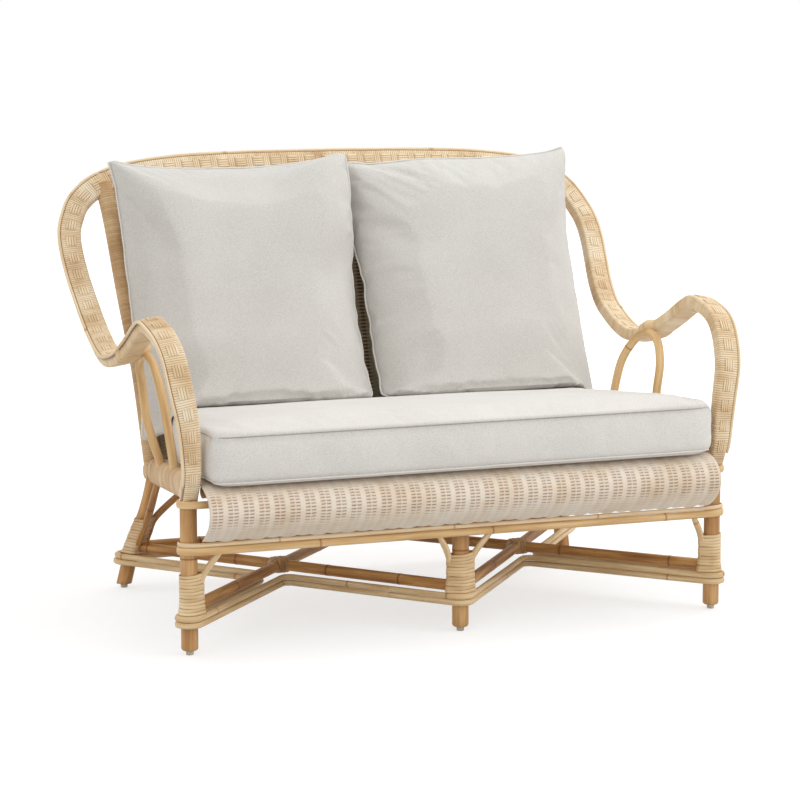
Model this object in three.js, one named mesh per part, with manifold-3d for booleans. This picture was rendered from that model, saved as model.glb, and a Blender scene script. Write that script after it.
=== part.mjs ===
// A two-seat rattan garden sofa: a pole frame with woven arms and back, and three loose cushions.
// Millimetres, +X to the sitter's left, +Y to the back, +Z up. The model is built on the line of the
// front legs and moved at the end, so that its origin is under the middle of its outline.

import * as THREE from 'three';
import { mergeVertices } from 'three/addons/utils/BufferGeometryUtils.js';
import Module from 'manifold-3d';

const wasm = await Module();
wasm.setup();

// Overall sizes
const frontLegSpan = 1050;
const rearFootSpan = 970;
const rearFootDepth = 596;
const rearTopSpan = 874;
const rearTopDepth = 532;
const frontLegTop = 285;
const armCrestHeight = 583;
const armCrestDepth = 128;
const armReach = 25;
const armSpread = 42;
const valleyHeight = 489;
const valleyDepth = 400;
const backHeight = 839;
const backDepth = 714;
const wingOverhang = 88;

// Poles and canes
const legRadius = 15.5;
const rearLegRadius = 15;
const postRadius = 19;
const glideRadius = 7.5;
const glideHeight = 8.5;
const seatRailRadius = 12;
const seatRailDrop = 2.4;
const backRailRadius = 18;
const backRailOverhang = 20;
const backRailHeight = 245;
const sideBandWidth = 30;
const sideBandHeight = 50;
const sideBandLift = 22;
const seatEdgeCaneRadius = 7;
const apronRailRadius = 7.3;
const apronRailHeight = 191;
const apronEdgeCaneRadius = 4;
const stretcherRadius = 10.5;
const stretcherHeight = 85;
const meetingSpread = 8;
const loopCaneRadius = 5.7;
const loopTipReach = 34;
const bracketRadius = 6;
const sideBracketRadius = 7;
const frontBracketReach = 54;
const sideBracketReach = 105;
const backBracketReach = 118;
const armLoopRadius = 8.5;
const armLoopFrontDepth = 172;
const armLoopRearSetback = 177;
const armLoopCrestShare = 0.612;
const armLoopCrestDrop = 6.7;
const armLoopGap = 1.8;

// Woven ribbon of the arms and back
const ribbonWidth = 43;
const ribbonThickness = 26;
const ribbonFootWidth = 31;
const edgeCaneRadius = 4;

// Woven sheets
const weaveThickness = 5;
const weaveSideGap = 3.6;
const weavePostGap = 0.9;
const apronBulge = 70;
const backBow = 8;

// Peel bindings
const bindingThickness = 2.4;
const bindingRidge = 0.9;
const legBindingHeight = 73;
const nodeBindingRadius = 31;
const loopBindingLength = 42;

// Cushions
const seatCushionHeight = 100;
const seatCushionCrown = 9;
const seatCushionOverhang = 66;
const seatCushionSideGap = 7;
const backCushionOverhang = 63;
const backCushionRise = 31.4;
const backCushionThickness = 184;
const backCushionTip = THREE.MathUtils.degToRad(5.65);
const backCushionGap = 4.15;
const backCushionSink = 26;
const cushionGap = 3;

// The gap that pieces which touch keep between their faces, the reach within which a solid's
// corners are one, and the overrun of cutting blocks
const clearance = 0.3;
const weldReach = 0.003;
const overrun = 60;

// Finishes
const cane = { color: 0xdcb888, roughness: 0.5, metalness: 0 };
const barkCane = { color: 0xa9753f, roughness: 0.5, metalness: 0 };
const peel = { color: 0xe3c79c, roughness: 0.55, metalness: 0 };
const wicker = { color: 0xe9dac2, roughness: 0.65, metalness: 0 };
const linen = { color: 0xcfccc6, roughness: 0.95, metalness: 0 };
const glidePlastic = { color: 0xd9cfbf, roughness: 0.5, metalness: 0 };

const legX = frontLegSpan / 2;
const rearTopX = rearTopSpan / 2;
const wingX = rearTopX + wingOverhang;
const seatRailHeight = frontLegTop + seatRailRadius - seatRailDrop;
const deckThickHalf = weaveThickness / 2;
const deckFrontHeight = seatRailHeight + seatRailRadius + clearance + deckThickHalf;
const deckRearDepth = rearTopDepth - deckThickHalf * 2 - clearance;
const deckRearHeight = backRailHeight + backRailRadius + clearance + deckThickHalf;
const deckSlope = (deckFrontHeight - deckRearHeight) / deckRearDepth;
const seatAngle = Math.atan(deckSlope);

const sofa = new THREE.Group();

function addPart(name, geometry, finish) {
  const mesh = new THREE.Mesh(geometry, new THREE.MeshStandardMaterial(finish));
  mesh.name = name;
  sofa.add(mesh);
}

// Solids: joining, cutting and lofting

function positionsOnly(geometry) {
  const plain = geometry.clone();
  for (const name of Object.keys(plain.attributes)) {
    if (name !== 'position') plain.deleteAttribute(name);
  }
  return mergeVertices(plain, weldReach);
}

function toSolid(geometry) {
  const plain = positionsOnly(geometry);
  const mesh = new wasm.Mesh({
    numProp: 3,
    vertProperties: Float32Array.from(plain.attributes.position.array),
    triVerts: Uint32Array.from(plain.index.array),
  });
  return new wasm.Manifold(mesh);
}

function toGeometry(solid) {
  const mesh = solid.getMesh();
  const geometry = new THREE.BufferGeometry();
  geometry.setAttribute('position', new THREE.BufferAttribute(mesh.vertProperties, 3));
  geometry.setIndex(new THREE.BufferAttribute(mesh.triVerts, 1));
  geometry.computeVertexNormals();
  return geometry;
}

// Cuts the tools away and keeps the main body, without the chips that a slanting cut can leave
function cut(geometry, tools) {
  let solid = toSolid(geometry);
  for (const tool of tools) solid = solid.subtract(toSolid(tool));
  const bodies = solid.decompose();
  return toGeometry(bodies.reduce((main, body) => (body.volume() > main.volume() ? body : main)));
}

function common(geometry, tool) {
  return toGeometry(toSolid(geometry).intersect(toSolid(tool)));
}

function signedVolume(points, faces) {
  const cross = new THREE.Vector3();
  return faces.reduce((sum, [a, b, c]) => {
    cross.crossVectors(points[b], points[c]);
    return sum + points[a].dot(cross);
  }, 0);
}

function solidFromFaces(points, faces) {
  const outward = signedVolume(points, faces) > 0;
  const ordered = faces.map(([a, b, c]) => (outward ? [a, b, c] : [a, c, b]));
  const geometry = new THREE.BufferGeometry();
  geometry.setFromPoints(points);
  geometry.setIndex(ordered.flat());
  geometry.computeVertexNormals();
  return geometry;
}

// Rings of equally many points, joined side by side and closed by a fan at each end
function loft(rings) {
  const count = rings[0].length;
  const points = rings.flat();
  const faces = [];
  for (let ring = 0; ring + 1 < rings.length; ring++) {
    for (let i = 0; i < count; i++) {
      const here = ring * count + i;
      const next = ring * count + ((i + 1) % count);
      faces.push([here, next, next + count], [here, next + count, here + count]);
    }
  }
  for (const end of [0, rings.length - 1]) {
    const centre = rings[end].reduce((sum, point) => sum.add(point), new THREE.Vector3());
    points.push(centre.divideScalar(count));
    for (let i = 0; i < count; i++) {
      const here = end * count + i;
      const next = end * count + ((i + 1) % count);
      faces.push(end === 0 ? [points.length - 1, next, here] : [points.length - 1, here, next]);
    }
  }
  return solidFromFaces(points, faces);
}

function mirrored(geometry) {
  const plain = positionsOnly(geometry);
  const flipped = plain.clone();
  flipped.scale(-1, 1, 1);
  const index = Array.from(flipped.index.array);
  for (let i = 0; i < index.length; i += 3) [index[i + 1], index[i + 2]] = [index[i + 2], index[i + 1]];
  flipped.setIndex(index);
  flipped.computeVertexNormals();
  return flipped;
}

function circle(radius, sides) {
  const points = [];
  for (let i = 0; i < sides; i++) {
    const turn = (i / sides) * Math.PI * 2;
    points.push(new THREE.Vector2(Math.cos(turn), Math.sin(turn)).multiplyScalar(radius));
  }
  return new THREE.Shape(points);
}

function tube(points, radius, { steps = points.length * 3, sides = 10 } = {}) {
  const path = points.length === 2 ? new THREE.LineCurve3(...points) : new THREE.CatmullRomCurve3(points);
  return new THREE.ExtrudeGeometry(circle(radius, sides), { extrudePath: path, steps, bevelEnabled: false });
}

function rod(from, to, radius, sides = 10) {
  return tube([from, to], radius, { steps: 1, sides });
}

function box(min, max) {
  const size = new THREE.Vector3().subVectors(max, min);
  return new THREE.BoxGeometry(size.x, size.y, size.z).translate(
    (min.x + max.x) / 2, (min.y + max.y) / 2, (min.z + max.z) / 2);
}

function at(x, y, z) {
  return new THREE.Vector3(x, y, z);
}

function mix(a, b, share) {
  return a + (b - a) * share;
}

// The ribbon runs up from the front leg over the arm, down into a valley, up the wing and along the back.
// Each row: outward lean or place across, then the shares of the stretch's depth and height.
const valleyLeanShare = 0.65;
const frontRiseShares = [[0, 0, 0], [0, 0.8, 0.15], [0.04, 0.95, 0.28], [0.14, 1, 0.45], [0.37, 0.72, 0.65]];
const frontBendShares = [[0.51, 0.06, 0.835], [0.6, 0.3, 0.925], [valleyLeanShare, 0.68, 0.98], [0.67, 1, 1]];
const valleyShares = [
  [0.67, 0.13, 0.13], [0.66, 0.31, 0.39], [valleyLeanShare, 0.5, 0.64], [valleyLeanShare, 0.7, 0.86],
  [valleyLeanShare, 1, 1],
];
const wingShares = [
  [valleyLeanShare, 0.15, 0.025], [valleyLeanShare, 0.3, 0.08], [0.66, 0.44, 0.15], [0.76, 0.575, 0.262],
  [0.9, 0.68, 0.38], [1, 0.79, 0.525], [0.93, 0.87, 0.63], [0.65, 0.93, 0.715],
];
const cornerShares = [[1.025, 0.972, 0.785], [0.97, 0.993, 0.86], [0.887, 1, 0.918], [0.78, 1, 0.955]];
const topShares = [[0.62, 1, 0.982], [0.38, 1.006, 0.996], [0.13, 1.01, 1]];

function ribbonPoints() {
  const lean = (share, rearward = 0) => mix(legX, wingX, rearward) + armSpread * share;
  const wingAt = (x, depth, rise) => at(
    x, mix(valleyDepth, backDepth, depth), mix(valleyHeight, backHeight, rise));
  return [
    ...frontRiseShares.map(([out, reach, rise]) => at(
      lean(out), -armReach * reach, mix(frontLegTop + clearance, armCrestHeight, rise))),
    ...frontBendShares.map(([out, depth, rise]) => at(
      lean(out), armCrestDepth * depth, mix(frontLegTop, armCrestHeight, rise))),
    ...valleyShares.map(([out, depth, dip]) => at(
      lean(out, depth), mix(armCrestDepth, valleyDepth, depth), mix(armCrestHeight, valleyHeight, dip))),
    ...wingShares.map(([out, depth, rise]) => wingAt(lean(out, 1), depth, rise)),
    ...[...cornerShares, ...topShares].map(([across, depth, rise]) => wingAt(wingX * across, depth, rise)),
  ];
}

const ribbonCurve = (() => {
  const right = ribbonPoints();
  const left = right.map((point) => at(-point.x, point.y, point.z)).reverse();
  return new THREE.CatmullRomCurve3([...right, ...left], false, 'centripetal');
})();

// Stations along the right half, with the across and face directions carried along without twist
const armStations = 30;
const topStations = 7;
const cornerEndShare = 0.408;
const centreShare = 0.5;
const footTaperShare = 0.071;

// The arm's ribbon ends at this share of its length, partway through the corner's points
const armEndShare = (() => {
  const before = [frontRiseShares, frontBendShares, valleyShares, wingShares]
    .reduce((sum, rows) => sum + rows.length, 0);
  const lengths = ribbonCurve.getLengths();
  const last = lengths.length - 1;
  const place = (last * (before + cornerEndShare * cornerShares.length)) / (ribbonCurve.points.length - 1);
  const k = Math.floor(place);
  return mix(lengths[k], lengths[k + 1], place - k) / lengths[last];
})();

function ribbonStations() {
  const shares = [];
  for (let i = 0; i <= armStations; i++) shares.push((armEndShare * i) / armStations);
  for (let i = 0; i <= topStations; i++) shares.push(mix(armEndShare, centreShare, i / topStations));
  let across = at(1, 0, 0);
  return shares.map((share) => {
    const tangent = share === 0 ? at(0, 0, 1) : ribbonCurve.getTangentAt(share);
    across = across.clone().addScaledVector(tangent, -across.dot(tangent)).normalize();
    const widen = THREE.MathUtils.smoothstep(share, 0, footTaperShare);
    return {
      centre: ribbonCurve.getPointAt(share),
      tangent,
      across: across.clone(),
      face: new THREE.Vector3().crossVectors(across, tangent),
      width: mix(ribbonFootWidth, ribbonWidth, widen),
      thickness: mix(ribbonFootWidth, ribbonThickness, widen),
    };
  });
}

const stations = ribbonStations();
const armPart = stations.slice(0, armStations + 1);
const topPart = stations.slice(armStations + 1);
const seamGap = (station, sign) => ({
  ...station,
  centre: station.centre.clone().addScaledVector(station.tangent, (sign * clearance) / 2),
});
armPart[armStations] = seamGap(armPart[armStations], -1);
topPart[0] = seamGap(topPart[0], 1);

const ribbonSectionShares = [
  [1, 0.45], [0.84, 1], [0, 1], [-0.84, 1], [-1, 0.45],
  [-1, -0.45], [-0.84, -1], [0, -1], [0.84, -1], [1, -0.45],
];

function ribbonRing(station, grow) {
  return ribbonSectionShares.map(([side, face]) => station.centre.clone()
    .addScaledVector(station.across, side * (station.width / 2 + grow))
    .addScaledVector(station.face, face * (station.thickness / 2 + grow)));
}

function caneRing(station, radius, sides) {
  const centre = station.centre.clone()
    .addScaledVector(station.across, station.width / 2 + radius + clearance)
    .addScaledVector(station.face, station.thickness / 2 - radius);
  return circle(radius, sides).getPoints().slice(0, sides).map((point) => centre.clone()
    .addScaledVector(station.across, point.x)
    .addScaledVector(station.face, point.y));
}

const mirrorRing = (ring) => ring.map((point) => at(-point.x, point.y, point.z));
const mirrorPath = (path) => mirrorRing(path).reverse();

function armRibbon(grow = 0) {
  return loft(armPart.map((station) => ribbonRing(station, grow)));
}

function fullTop(ringOf) {
  const right = topPart.map(ringOf);
  const left = right.slice(0, -1).map(mirrorRing).reverse();
  return loft([...right, ...left]);
}

function topRibbon(grow = 0) {
  return fullTop((station) => ribbonRing(station, grow));
}

const edgeCaneSides = 6;

function armEdgeCane() {
  return loft(armPart.slice(1).map((station) => caneRing(station, edgeCaneRadius, edgeCaneSides)));
}

function topEdgeCane() {
  return fullTop((station) => caneRing(station, edgeCaneRadius, edgeCaneSides));
}

// Legs, posts and rails

function frontLeg(x, top, grow = 0) {
  return rod(at(x, 0, glideHeight + clearance - grow), at(x, 0, top + grow), legRadius + grow, poleSides);
}

const poleSides = 14;
const caneSides = 8;
const rearLegShares = [[1, 1, 0], [0.66, 0.75, 0.34], [0.24, 0.3, 0.66], [0.03, 0.04, 0.92], [0, 0, 1]];
const rearLegCurve = new THREE.CatmullRomCurve3(rearLegShares.map(([out, back, rise]) => at(
  mix(rearTopX, rearFootSpan / 2, out),
  mix(rearTopDepth, rearFootDepth, back),
  mix(glideHeight, backRailHeight, rise))));

function rearLeg(grow = 0) {
  const path = rearLegCurve.getPoints(8);
  path[0].addScaledVector(rearLegCurve.getTangent(0), -rearLegRadius);
  return tube(path, rearLegRadius + grow, { steps: 7, sides: poleSides });
}

// The rear leg's centre at a height, found by halving
const halvings = 24;

function rearLegAt(height) {
  let low = 0;
  let high = 1;
  for (let i = 0; i < halvings; i++) {
    const middle = (low + high) / 2;
    if (rearLegCurve.getPoint(middle).z < height) low = middle;
    else high = middle;
  }
  return rearLegCurve.getPoint(low);
}

const glideFootShare = 0.85;
const glideBevelShare = 0.2;

function glide(x, y) {
  const profile = [
    [0, 0], [glideRadius * glideFootShare, 0], [glideRadius, glideHeight * glideBevelShare],
    [glideRadius, glideHeight], [0, glideHeight],
  ].map(([radius, height]) => new THREE.Vector2(radius, height));
  return new THREE.LatheGeometry(profile, 10).rotateX(Math.PI / 2).translate(x, y, 0);
}

function seatFrontRail() {
  return rod(at(-legX, 0, seatRailHeight), at(legX, 0, seatRailHeight), seatRailRadius);
}

const railEndShare = 0.7;
const railRoundingShare = 0.35;

function seatBackRail(grow = 0) {
  const half = rearTopX + backRailOverhang;
  const roundEnd = backRailRadius * railRoundingShare;
  const radius = backRailRadius + grow;
  const profile = [
    [0, -half - grow], [radius * railEndShare, -half - grow], [radius, -half + roundEnd],
    [radius, half - roundEnd], [radius * railEndShare, half + grow], [0, half + grow],
  ].map(([across, along]) => new THREE.Vector2(across, along));
  const rail = new THREE.LatheGeometry(profile, poleSides).rotateZ(-Math.PI / 2);
  return rail.translate(0, rearTopDepth, backRailHeight);
}

// The centre line of the right side band, from the front leg to the back rail
function bandAt(share) {
  const height = mix(frontLegTop + sideBandLift, backRailHeight, share);
  return at(mix(legX, rearTopX, share), mix(0, rearTopDepth, share), height);
}

const sideSectionSides = 14;

function seatSideBand(grow = 0) {
  const run = bandAt(1).sub(bandAt(0)).normalize();
  const across = new THREE.Vector3().crossVectors(run, at(0, 0, 1)).normalize();
  const up = new THREE.Vector3().crossVectors(across, run);
  const rings = [0, 1].map((share) => circle(1, sideSectionSides).getPoints()
    .slice(0, sideSectionSides).map((point) => bandAt(share)
      .addScaledVector(across, point.x * (sideBandWidth / 2 + grow))
      .addScaledVector(up, point.y * (sideBandHeight / 2 + grow))));
  return loft(rings);
}

function seatCrossRail() {
  const drop = (deckThickHalf + clearance + seatRailRadius) * Math.hypot(1, deckSlope);
  return rod(
    at(0, 0, deckFrontHeight - drop), at(0, rearTopDepth, deckRearHeight - drop), seatRailRadius);
}

const postShares = [[0, 0, 0], [0.26, 0.28, 0.36], [0.52, 0.56, 0.6], [0.83, 0.86, 0.89], [1, 1, 1]];
const postAcrossShare = 0.955;
const postRiseShare = 0.56;
const postTop = stations.find(({ centre }) => (
  centre.x < wingX * postAcrossShare && centre.z > mix(valleyHeight, backHeight, postRiseShare)));

function backPost(grow = 0) {
  const path = postShares.map(([out, back, rise]) => at(
    mix(rearTopX, postTop.centre.x, out),
    mix(rearTopDepth, postTop.centre.y, back),
    mix(backRailHeight, postTop.centre.z, rise)));
  return tube(path, postRadius + grow, { steps: 5, sides: poleSides });
}

// Canes that run along the front and hook round the outside of both end legs

const hookTurn = THREE.MathUtils.degToRad(215);
const hookSteps = 7;

function hookedCane(radius, height, offset) {
  const points = [];
  for (let i = 0; i <= hookSteps; i++) {
    const turn = -Math.PI / 2 - (hookTurn - Math.PI / 2) * (1 - i / hookSteps);
    points.push(at(-legX + offset * Math.cos(turn), offset * Math.sin(turn), height));
  }
  return flatTube([...points, ...mirrorPath(points)], radius, caneSides);
}

// A tube along a level polyline, mitred at its corners
const mitreLimit = 0.5;

function flatTube(path, radius, sides) {
  const rings = path.map((point, i) => {
    const before = path[Math.max(i - 1, 0)];
    const after = path[Math.min(i + 1, path.length - 1)];
    const into = point.clone().sub(before).normalize();
    const out = after.clone().sub(point).normalize();
    const along = into.clone().add(out).normalize();
    const stretch = 1 / Math.max(along.dot(i === 0 ? out : into), mitreLimit);
    const across = at(along.y, -along.x, 0);
    return circle(radius, sides).getPoints().slice(0, sides).map((corner) => point.clone()
      .addScaledVector(across, corner.x * stretch)
      .add(at(0, 0, corner.y)));
  });
  return loft(rings);
}

const apronRailOffset = legRadius + clearance + apronRailRadius;
const apronEdgeHeight = apronRailHeight + apronRailRadius + clearance + apronEdgeCaneRadius;

// Stretchers: a straight one at the back and two crossing pairs

const rearEnd = rearLegAt(stretcherHeight).setZ(stretcherHeight);
const stretcherEnds = {
  back: [at(-rearEnd.x, rearEnd.y, stretcherHeight), rearEnd],
  front: [at(legX, 0, stretcherHeight), at(meetingSpread, rearEnd.y, stretcherHeight)],
  cross: [rearEnd, at(meetingSpread, 0, stretcherHeight)],
};

function stretcher(name, grow = 0) {
  const [from, to] = stretcherEnds[name];
  return rod(from, to, stretcherRadius + grow);
}

// Where the two stretchers of a pair cross, each keeps half of its thickness
const crossing = (() => {
  const [a, b] = stretcherEnds.front;
  const [c, d] = stretcherEnds.cross;
  const along = b.clone().sub(a);
  const other = d.clone().sub(c);
  const offset = c.clone().sub(a);
  const share = (offset.x * other.y - offset.y * other.x) / (along.x * other.y - along.y * other.x);
  return a.clone().addScaledVector(along, share);
})();

function halfSpace(above, level) {
  const low = above ? level : level - overrun;
  const high = above ? level + overrun : level;
  return box(at(-frontLegSpan, -overrun, low), at(frontLegSpan, rearFootDepth + overrun, high));
}

function lapCut(name, above) {
  const level = stretcherHeight + ((above ? -1 : 1) * clearance) / 2;
  return common(stretcher(name, clearance), halfSpace(above, level));
}

// Two stacked loop canes under the stretchers, round the outside of every leg

const upperLoopHeight = stretcherHeight - stretcherRadius - clearance - loopCaneRadius;
const lowerLoopHeight = upperLoopHeight - 2 * loopCaneRadius - clearance;
const quarter = Math.PI / 2;

// An arc whose chords, not its corners, keep the radius
function arcRound(centre, radius, fromTurn, toTurn, steps) {
  const corner = radius / Math.cos((toTurn - fromTurn) / steps / 2);
  const points = [];
  for (let i = 0; i <= steps; i++) {
    const turn = mix(fromTurn, toTurn, i / steps);
    points.push(at(centre.x + corner * Math.cos(turn), centre.y + corner * Math.sin(turn), centre.z));
  }
  return points;
}

// A short round bend in place of a sharp corner
function roundedTip(before, tip, after) {
  const reach = loopTipReach / 2;
  const into = tip.clone().sub(before).normalize().multiplyScalar(reach);
  const out = after.clone().sub(tip).normalize().multiplyScalar(reach);
  return new THREE.QuadraticBezierCurve3(tip.clone().sub(into), tip, tip.clone().add(out)).getPoints(4);
}

const turnOf = (from, to) => Math.atan2(to.y - from.y, to.x - from.x);

// The right half of a loop: round the rear leg, the side tip, the front leg and the front tip
function outerLoop(height) {
  const rearLegCentre = rearLegAt(height);
  const tilt = Math.acos(Math.abs(rearLegCurve.getTangent(0).z));
  const rearOffset = rearLegRadius / Math.cos(tilt) + loopCaneRadius * (1 + Math.tan(tilt)) + clearance;
  const offset = legRadius + clearance + loopCaneRadius;
  const tip = crossing.clone().setZ(height);
  const sideTip = tip.clone().add(at(loopTipReach, 0, 0));
  const frontTip = tip.clone().add(at(0, -loopTipReach, 0));
  const frontLegCentre = at(legX, 0, height);
  const leaveRear = turnOf(rearLegCentre, sideTip) + quarter;
  const reachFront = turnOf(sideTip, frontLegCentre) + quarter;
  const leaveFront = turnOf(frontLegCentre, frontTip) + quarter - Math.PI * 2;
  return [
    at(clearance, rearLegCentre.y + rearOffset, height),
    ...arcRound(rearLegCentre, rearOffset, quarter, leaveRear, 5),
    ...roundedTip(rearLegCentre, sideTip, frontLegCentre),
    ...arcRound(frontLegCentre, offset, reachFront, leaveFront, 7),
    ...roundedTip(frontLegCentre, frontTip, at(0, 0, height)),
  ];
}

// Each loop has one scarf joint at the back and one on the left of the middle leg
const scarfShare = 0.4;

function loopCanes(height) {
  const outer = outerLoop(height);
  const offset = legRadius + clearance + loopCaneRadius;
  const frontTip = outer[outer.length - 1];
  const reachMiddle = turnOf(frontTip, at(0, 0, height)) + quarter;
  const middle = arcRound(at(0, 0, height), offset, reachMiddle, -Math.PI - reachMiddle, 4);
  const left = mirrorPath(outer);
  const from = middle[middle.length - 1];
  const along = left[0].clone().sub(from);
  const gap = along.clone().setLength(clearance);
  const scarf = from.clone().addScaledVector(along, scarfShare);
  return {
    right: flatTube([...outer, ...middle, scarf.clone().sub(gap)], loopCaneRadius, 6),
    left: flatTube([scarf.clone().add(gap), ...left], loopCaneRadius, 6),
  };
}

// Brackets: bent canes from the leg bindings up to the rails

const bindingFoot = stretcherHeight - stretcherRadius;
const bindingTop = bindingFoot + legBindingHeight;
const bracketOffset = legRadius + clearance + bracketRadius;

const bracketFoot = stretcherHeight + stretcherRadius + clearance + bracketRadius;
const bracketSides = 7;
// Each row: the shares of the way along the rail, of the way forward to it and of the rise to it
const frontBracketShares = [[0, 0, 0], [0, 0, 0.35], [0.3, 0.35, 0.61], [1, 1, 1]];

function frontBracket(x, side, grow = 0) {
  const path = frontBracketShares.map(([along, forth, rise]) => at(
    x + side * mix(bracketOffset, frontBracketReach, along),
    mix(0, -apronRailOffset, forth),
    mix(bracketFoot, apronRailHeight, rise)));
  return tube(path, bracketRadius + grow, { steps: 5, sides: bracketSides });
}

const rearBracketOffset = rearLegRadius + clearance + sideBracketRadius;
const rearBracketShares = [0.35, 0.65, 1];

// Points beside the rear leg, offset square to it
function besideRearLeg(direction, height, offset) {
  const along = rearLegAt(height + clearance).sub(rearLegAt(height - clearance)).normalize();
  const sideways = direction.clone().addScaledVector(along, -direction.dot(along)).normalize();
  return rearLegAt(height).addScaledVector(sideways, offset);
}

function rearBracket(direction, end, grow = 0) {
  const path = rearBracketShares.map((share) => besideRearLeg(
    direction, mix(bindingFoot, bindingTop, share), rearBracketOffset));
  return tube([...path, end], sideBracketRadius + grow, { steps: 5, sides: bracketSides });
}

const forward = at(0, -1, 0);
const inward = at(-1, 0, 0);
const sideBracketEnd = bandAt(1 - sideBracketReach / rearTopDepth);
const backBracketEnd = at(rearTopX - backBracketReach, rearTopDepth, backRailHeight);
const rearSideBracket = (grow) => rearBracket(forward, sideBracketEnd, grow);
const rearBackBracket = (grow) => rearBracket(inward, backBracketEnd, grow);

// Peel bindings: ridged sleeves round a leg and the brackets beside it

const bindingTurns = 4;
const bindingSides = 12;
// How much of a bracket the peel is pulled in over, and how much a leaning leg widens a level section
const bindingHugShare = 0.65;
const leanWideningShare = 1.06;

// The outline that a band stretched round several circles takes
function stretchedOutline(circles, extra) {
  return circle(1, bindingSides).getPoints().slice(0, bindingSides).map((way) => {
    const reach = ({ x, y, radius }) => x * way.x + y * way.y + radius;
    const { x, y, radius } = circles.reduce((best, next) => (reach(next) > reach(best) ? next : best));
    return { x: x + way.x * (radius + extra), y: y + way.y * (radius + extra) };
  });
}

function sleeve(centreAt, circles, fromHeight, toHeight) {
  const rings = [];
  for (let i = 0; i <= bindingTurns * 2; i++) {
    const height = mix(fromHeight, toHeight, i / (bindingTurns * 2));
    const extra = bindingThickness + (i % 2 ? bindingRidge : 0);
    const centre = centreAt(height);
    rings.push(stretchedOutline(circles, extra).map(({ x, y }) => centre.clone().add(at(x, y, 0))));
  }
  return loft(rings);
}

function frontBinding(x, ways, stretcherTools) {
  const circles = [{ x: 0, y: 0, radius: legRadius }];
  const hug = bracketRadius * bindingHugShare;
  for (const way of ways) circles.push({ x: way * bracketOffset, y: 0, radius: hug });
  const body = sleeve((height) => at(x, 0, height), circles, bindingFoot, bindingTop);
  const brackets = ways.map((way) => frontBracket(x, way, clearance));
  return cut(body, [frontLeg(x, frontLegTop, clearance), ...brackets, ...stretcherTools]);
}

function rearBinding() {
  const middle = mix(bindingFoot, bindingTop, 0.5);
  const leg = rearLegAt(middle);
  const circles = [{ x: 0, y: 0, radius: rearLegRadius * leanWideningShare }];
  for (const way of [forward, inward]) {
    const place = besideRearLeg(way, middle, rearBracketOffset).sub(leg);
    circles.push({ x: place.x, y: place.y, radius: sideBracketRadius * bindingHugShare });
  }
  const body = sleeve(rearLegAt, circles, bindingFoot, bindingTop);
  return cut(body, [
    rearLeg(clearance), rearSideBracket(clearance), rearBackBracket(clearance),
    stretcher('back', clearance), stretcher('cross', clearance),
  ]);
}

const nodeFootShare = 0.8;
const nodeRimShare = 0.85;

// The lump of peel over a crossing, rounded off towards its rim
function nodeBinding(place, tools) {
  const top = stretcherRadius + bindingThickness;
  const foot = -stretcherRadius * nodeFootShare;
  const profile = [
    [0, foot], [nodeBindingRadius * nodeRimShare, foot], [nodeBindingRadius, 0],
    [nodeBindingRadius * nodeRimShare, top], [0, top],
  ].map(([radius, height]) => new THREE.Vector2(radius, height));
  const lump = new THREE.LatheGeometry(profile, bindingSides).rotateX(quarter);
  lump.translate(place.x, place.y, stretcherHeight);
  return cut(lump, tools);
}

// Arm loops: a bent cane from the side band up under the ribbon and down again

const armLoopRearDepth = rearTopDepth - armLoopRearSetback;
const armLoopCrestDepth = mix(armLoopFrontDepth, armLoopRearDepth, armLoopCrestShare);

// The arm's ribbon where the loop is tied to it
const tiedStation = armPart.findIndex(({ centre, tangent }) => centre.y > armLoopCrestDepth && tangent.z < 0);
const beforeTie = armPart[tiedStation - 1];
const afterTie = armPart[tiedStation];
const tieShare = (armLoopCrestDepth - beforeTie.centre.y) / (afterTie.centre.y - beforeTie.centre.y);
const tiedCentre = beforeTie.centre.clone().lerp(afterTie.centre, tieShare);
const armLoopCrestHeight = tiedCentre.z - armLoopCrestDrop;

// The loop's place across, in beside the ribbon, which runs slantwise where the wings stand further apart
const armSlant = (wingX - legX) / (valleyDepth - armCrestDepth);
const armLoopInset = (ribbonWidth / 2 + armLoopRadius + armLoopGap) * Math.hypot(1, armSlant);
const armLoopSideAt = (y) => legX + armSlant * (y - armCrestDepth) + armSpread * valleyLeanShare - armLoopInset;
// Each row: the shares of the way out to the crest, of the loop's depth from this foot and of the rise
const armLoopFrontShares = [[0, 0, 0], [0.3, 0.16, 0.45], [0.75, 0.2, 0.76], [1, 0.34, 0.95]];
const armLoopRearShares = [[1, 0.15, 0.93], [0.75, -0.04, 0.74], [0.5, -0.11, 0.42], [0, 0, 0]];

function armLoop(grow = 0) {
  const frontFoot = bandAt(armLoopFrontDepth / rearTopDepth);
  const rearFoot = bandAt(armLoopRearDepth / rearTopDepth);
  const side = (foot, other, shares) => shares.map(([out, depth, rise]) => {
    const y = mix(foot.y, other.y, depth);
    return at(mix(foot.x, armLoopSideAt(y), out), y, mix(foot.z, armLoopCrestHeight, rise));
  });
  const path = [
    ...side(frontFoot, rearFoot, armLoopFrontShares),
    at(armLoopSideAt(armLoopCrestDepth), armLoopCrestDepth, armLoopCrestHeight),
    ...side(rearFoot, frontFoot, armLoopRearShares),
  ];
  return tube(path, armLoopRadius + grow, { steps: 17, sides: caneSides });
}

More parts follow.
